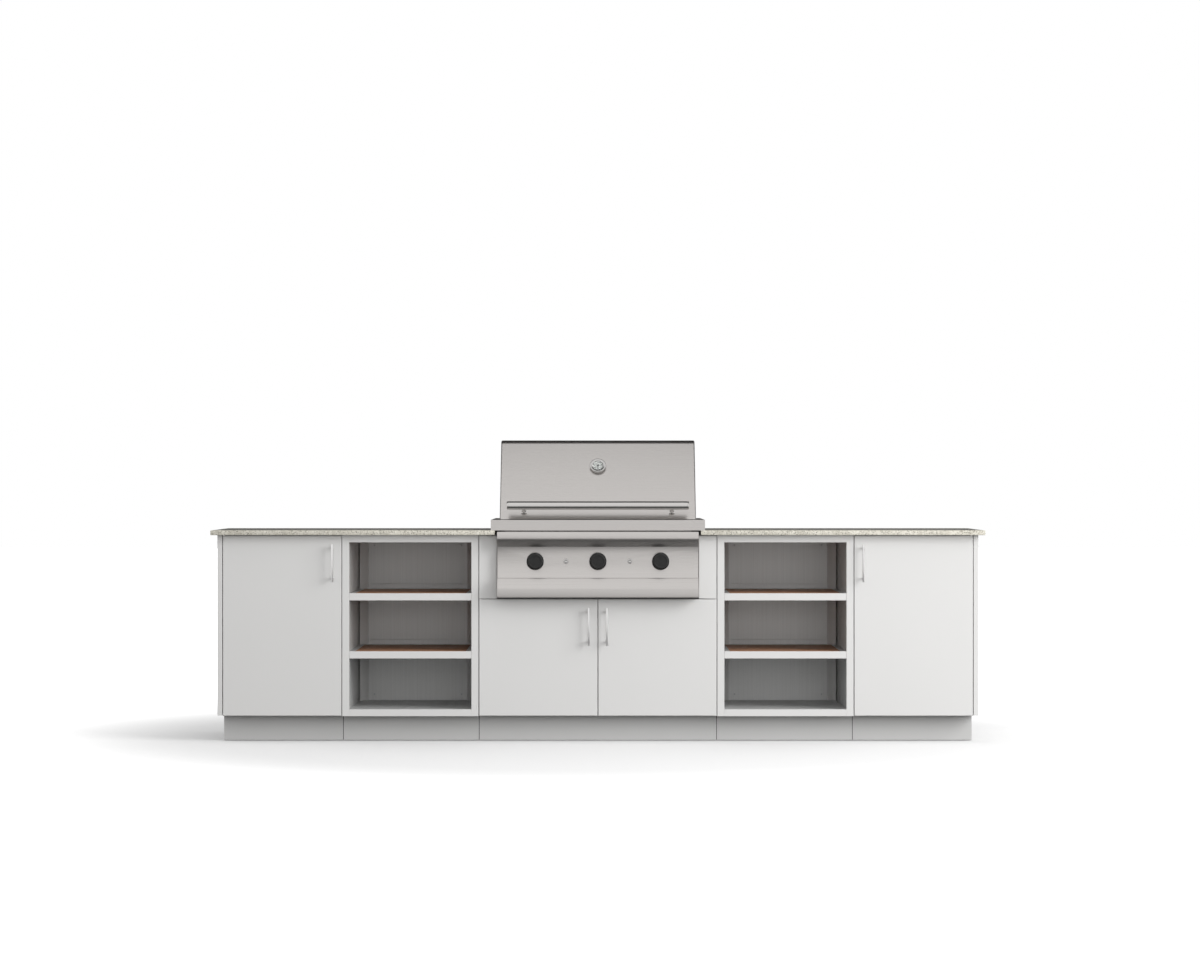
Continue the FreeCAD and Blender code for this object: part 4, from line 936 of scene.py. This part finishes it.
def makeControls():
    knob = makeKnob()
    b, thick = knobSet["bezel"], knobSet["bezelDepth"]
    steps = [(0, 0.012), (0, b - 0.0003), (thick - 0.0012, b), (thick - 0.0004, b - 0.0006),
             (thick, b - 0.0018), (thick - 0.0006, b - 0.0035), (thick - 0.0006, 0.012)]
    bezel = turnedPiece("knobBezel", steps, 72, (0, knobFaceY, controlHeight), toViewer)
    bezels = []
    for place, x in knobPlaces.items():
        cap = copied(knob, place + "KnobBody", (x, 0, 0))
        finishPiece(cap, knobBlack, place + "_knob", [place + "_knob"])
        bezels.append(copied(bezel, place + "Bezel", (x, 0, 0)))
    finishPiece(joined(bezels, "knobBezels"), turnedSteel, "island", ["knob_bezels"])
    discard(knob, bezel)


switchSet = {"bezel": 0.011, "barrel": 0.009, "button": 0.0066, "bore": 0.0069, "depth": 0.024,
             "proud": 0.005}


def makeSwitches():
    b, barrel, bore, depth, r, front = (switchSet[key] for key in (
        "bezel", "barrel", "bore", "depth", "button", "proud"))
    sleeveSteps = [(-depth, barrel), (0, barrel), (0, b - 0.0003), (0.002, b), (0.0027, b - 0.0005),
                   (0.003, b - 0.0013), (0.003, bore + 0.0004), (0.0026, bore), (-depth + 0.002, bore)]
    buttonSteps = [(-depth + 0.008, r), (front - 0.0012, r), (front - 0.0004, r - 0.0004),
                   (front, r - 0.0014), (front - 0.0003, r - 0.0024), (front - 0.0008, 0.002)]
    sleeves = []
    for place, x in switchPlaces.items():
        seat = (x, knobFaceY, controlHeight)
        sleeves.append(turnedPiece(place + "Sleeve", sleeveSteps, 40, seat, toViewer))
        button = turnedPiece(place + "Button", buttonSteps, 40, seat, toViewer)
        finishPiece(button, turnedSteel, place + "_button", [place + "_button"])
    finishPiece(joined(sleeves, "switchSleeves"), turnedSteel, "island", ["button_sleeves"])


makeControls()
makeSwitches()
print("controls made")


# Bar pulls

pullSet = {"radius": 0.005, "postRadius": 0.004, "spacing": 0.128, "ease": 0.0012, "foot": 0.0055}


def makePull(door):
    low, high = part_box(door + "_pull")
    x, y = (low.x + high.x) / 2, low.y + pullSet["radius"]
    bar = roundBar("pullBar", pullSet["radius"], (x, y, low.z), (x, y, high.z), pullSet["ease"])
    reach, foot, r = high.y - y, pullSet["foot"], pullSet["postRadius"]
    steps = [(0, foot), (0.001, foot), (0.0018, r), (reach - 0.003, r), (reach - 0.001, r + 0.0006)]
    heights = ((low.z + high.z) / 2 + side * pullSet["spacing"] / 2 for side in (-1, 1))
    posts = [turnedPiece("pullPost", steps, 24, (x, high.y, height), toViewer) for height in heights]
    finishPiece(joined([bar] + posts, door.replace("_", "") + "Pull"), satinSteel, door,
                [door + "_pull"])


for door in ("left_door", "right_door", "grill_door_left", "grill_door_right"):
    makePull(door)
print("pulls made")


# Shelf boards, eased boxes between the trays' ledges

boardSet = {"ease": 0.0012, "thick": 0.012}
bayMiddle = 0.794


def makeBoards():
    low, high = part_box("shelf_boards")
    inner, outer, thick = 2 * bayMiddle - high.x, high.x, boardSet["thick"]
    boards = []
    for x0, x1 in ((-outer, -inner), (inner, outer)):
        for z in (low.z, high.z - thick):
            boards.append(easedBlock("shelfBoard", (x0, low.y, z), (x1, high.y, z + thick), boardSet["ease"]))
    finishPiece(joined(boards, "shelfBoards"), oiledWood, "island", ["shelf_boards"])


makeBoards()
print("boards made")


# Screws on the back panels of the shelf and door cabinets

# per cabinet: middle, reach to either side, and the rows' distance from the panel's foot and top
screwSet = {"radius": 0.0036, "height": 0.0018,
            "rows": ((bayMiddle, 0.192, 0.026, 0.024), (1.337, 0.196, 0.030, 0.030))}


def makeScrews():
    r, h = screwSet["radius"], screwSet["height"]
    steps = [(0, r), (h * 0.4, r * 0.98), (h * 0.75, r * 0.8), (h, r * 0.45), (h - 0.0007, r * 0.4),
             (h - 0.0008, r * 0.1)]
    screw = turnedPiece("panelScrew", steps, 16, axis=toViewer)
    low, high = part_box("cabinet_backs")
    screws = []
    for middle, reach, foot, top in screwSet["rows"]:
        for x in (-middle - reach, -middle + reach, middle - reach, middle + reach):
            screws += [copied(screw, "backScrew", (x, low.y, z)) for z in (low.z + foot, high.z - top)]
    discard(screw)
    finishPiece(joined(screws, "backScrews"), zinc, "island")


makeScrews()


# Strips behind the joints of the toe kicks

stripSet = {"places": (0.505, 1.083), "half": 0.014, "thick": 0.0012, "behind": 0.0017, "gap": 0.001,
            "ease": 0.0003}


def makeStrips():
    low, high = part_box("toe_kicks")
    face, gap, half = low.y + stripSet["behind"], stripSet["gap"], stripSet["half"]
    strips = []
    for x in stripSet["places"]:
        for middle in (-x, x):
            strips.append(easedBlock("kickStrip", (middle - half, face, low.z + gap),
                                     (middle + half, face + stripSet["thick"], high.z - gap),
                                     stripSet["ease"], 1))
    finishPiece(joined(strips, "kickStrips"), rubber, "island")


# Eased edges on the sheet steel, which show as hairline joints

jointSet = {"weld": 0.00001, "width": 0.0008, "segments": 2, "angle": 40}


def easeEdges(piece):
    addModifier(piece, "WELD", merge_threshold=jointSet["weld"])
    addModifier(piece, "BEVEL", width=jointSet["width"], segments=jointSet["segments"], limit_method="ANGLE",
                angle_limit=math.radians(jointSet["angle"]))


# Slanted corner posts in the shelf bays, from shelf to shelf, and the hems of the trays' upstands

bayPostSet = {"groove": 0.004, "width": 0.0365, "rise": 0.045, "thin": 0.0015, "ease": 0.0006,
              "gap": 0.0004}
hemSet = {"inset": 0.045, "depth": 0.0035, "height": 0.002, "ease": 0.0006}
trayLow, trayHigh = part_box("shelf_trays")
lowBoard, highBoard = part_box("shelf_boards")[0].z + boardSet["thick"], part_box("shelf_boards")[1].z
bayHalf = trayHigh.x - bayMiddle


def inBays(piece, name, mirrors=(False,)):
    # the piece's copies in both bays; the piece itself goes
    copies = [copied(piece, name, (middle, 0, 0), mirror) for middle in (-bayMiddle, bayMiddle)
              for mirror in mirrors]
    discard(piece)
    return copies


def makeBayPosts():
    back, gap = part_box("cabinet_backs")[0].y, bayPostSet["gap"]
    front = back - bayPostSet["rise"]
    outer = bayHalf - bayPostSet["groove"]
    thinEdge = outer - bayPostSet["width"]
    bays = [(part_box("cabinet_floors")[1].z, trayLow.z), (lowBoard, highBoard - (lowBoard - trayLow.z)),
            (highBoard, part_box("shelf_cabinet_tops")[0].z)]
    posts = []
    for z0, z1 in bays:
        post = startBlock("bayPost", (thinEdge, front, z0 + gap), (outer, back - gap, z1 - gap))
        pickEdges(post, lambda a, b: near(a.x, thinEdge) and near(b.x, thinEdge)
                  and max(a.y, b.y) < front + 0.001)
        bpy.ops.transform.translate(value=(0, bayPostSet["rise"] - bayPostSet["thin"], 0))
        leaveEdit()
        softenEdges(post, bayPostSet["ease"], 2)
        posts += inBays(post, "bayPost", (False, True))
    finishPiece(joined(posts, "bayPosts"), powderCoat, "island")


def makeHems():
    reach, hems = bayHalf - hemSet["inset"], []
    for board in (lowBoard, highBoard):
        top = board + (trayHigh.z - highBoard)
        hem = easedBlock("trayHem", (-reach, trayHigh.y - hemSet["depth"], top - hemSet["height"]),
                         (reach, trayHigh.y, top), hemSet["ease"], 2)
        hems += inBays(hem, "trayHem")
    finishPiece(joined(hems, "trayHems"), shellSheet, "island")


makeBayPosts()
makeHems()
makeStrips()
for node in ("shelf_cabinet_sides", "shelf_cabinet_tops", "cabinet_floors", "shelf_trays", "end_panels",
             "left_door", "right_door", "grill_door_left", "grill_door_right", "grill_filler_panels"):
    easeEdges(nodes[node])
print("joints made")


# Levelling feet: pad, hexagon and threaded rod

footSet = {"pad": 0.022, "padTop": 0.010, "rod": 0.0078, "thread": 0.0012, "hex": 0.013, "top": 0.1365,
           "turns": 14, "places": (0.4425, 0.5675, 1.0205, 1.1455, 1.5285)}


def makeFoot():
    wide, rod, nutWide, padTop = (footSet[key] for key in ("pad", "rod", "hex", "padTop"))
    pad = turnedPiece("footPad", [(0, wide - 0.001), (0.001, wide), (0.006, wide), (0.0095, wide - 0.006),
                                  (padTop, rod)], 28)
    nut = turnedPiece("footNut", [(0.012, nutWide - 0.001), (0.013, nutWide), (0.021, nutWide),
                                  (0.022, nutWide - 0.001)], 6)
    steps, valley = [], rod - footSet["thread"]
    pitch = (footSet["top"] - padTop) / footSet["turns"]
    for i in range(footSet["turns"]):
        start = padTop + i * pitch
        steps += [(start, valley), (start + pitch * 0.45, rod)]
    stem = turnedPiece("footStem", steps + [(footSet["top"], valley)], 12)
    return pad, joined([stem, nut], "footStem")


def makeFeet():
    low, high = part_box("levelling_feet")
    ys = (low.y + footSet["pad"], high.y - footSet["pad"])
    pad, stem = makeFoot()
    pads, stems = [], []
    for place in footSet["places"]:
        for x in (-place, place):
            for y in ys:
                pads.append(copied(pad, "feetPads", (x, y, 0)))
                stems.append(copied(stem, "feetStems", (x, y, 0)))
    discard(pad, stem)
    finishPiece(joined(pads, "feetPads"), rubber, "island", ["levelling_feet"])
    finishPiece(joined(stems, "feetStems"), zinc, "island")


makeFeet()
print("feet made")


# Cooking grates of round bars, and the warming rack

grateSet = {"bar": 0.004, "bars": 13, "frame": 0.0045, "gap": 0.002, "inset": 0.001, "lift": 0.0004,
            "ease": 0.001}


def makeGrates():
    low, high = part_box("cooking_grates")
    z = (low.z + high.z) / 2
    width = (high.x - low.x - 2 * grateSet["gap"]) / 3
    r, bar, ease = grateSet["frame"], grateSet["bar"], grateSet["ease"]
    parts = [roundBar("grateRail", r, (low.x, y, z), (low.x + width, y, z), ease, 16)
             for y in (low.y + r, (low.y + high.y) / 2, high.y - r)]
    pitch = (width - 2 * bar) / (grateSet["bars"] - 1)
    z += grateSet["lift"]
    for i in range(grateSet["bars"]):
        x = low.x + bar + i * pitch
        parts.append(roundBar("grateBar", bar, (x, low.y + grateSet["inset"], z),
                              (x, high.y - grateSet["inset"], z), ease, 16))
    grate = joined(parts, "cookingGrate")
    step = width + grateSet["gap"]
    grates = [grate] + [copied(grate, "cookingGrate", (i * step, 0, 0)) for i in (1, 2)]
    finishPiece(joined(grates, "cookingGrates"), plainSteel, "island", ["cooking_grates"])


rackSet = {"frame": 0.003, "rails": (0.044, 0.088), "wire": 0.0022, "wires": 25, "inset": 0.001,
           "leg": 0.003, "legInset": 0.006, "ease": 0.001, "wireEase": 0.0006}


def makeRack():
    low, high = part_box("warming_rack")
    r, inset, ease, wireEase = (rackSet[key] for key in ("frame", "inset", "ease", "wireEase"))
    top, rear = high.z - r, high.y - r
    parts = [roundBar("rackRail", r, (low.x, y, top), (high.x, y, top), ease, 16)
             for y in (low.y + r, *(low.y + reach for reach in rackSet["rails"]), rear)]
    parts += [roundBar("rackEnd", r, (x, low.y, top), (x, high.y, top), ease, 16)
              for x in (low.x + r, high.x - r)]
    pitch = (high.x - low.x - 2 * r) / (rackSet["wires"] + 1)
    for i in range(rackSet["wires"]):
        x = low.x + r + (i + 1) * pitch
        parts.append(roundBar("rackWire", rackSet["wire"], (x, low.y + inset, top),
                              (x, high.y - inset, top), wireEase, 12))
    for x in (low.x + rackSet["legInset"], high.x - rackSet["legInset"]):
        parts.append(roundBar("rackLeg", rackSet["leg"], (x, rear, low.z), (x, rear, top), wireEase, 16))
    finishPiece(joined(parts, "warmingRack"), plainSteel, "island", ["warming_rack"])


makeGrates()
makeRack()
print("grates made")
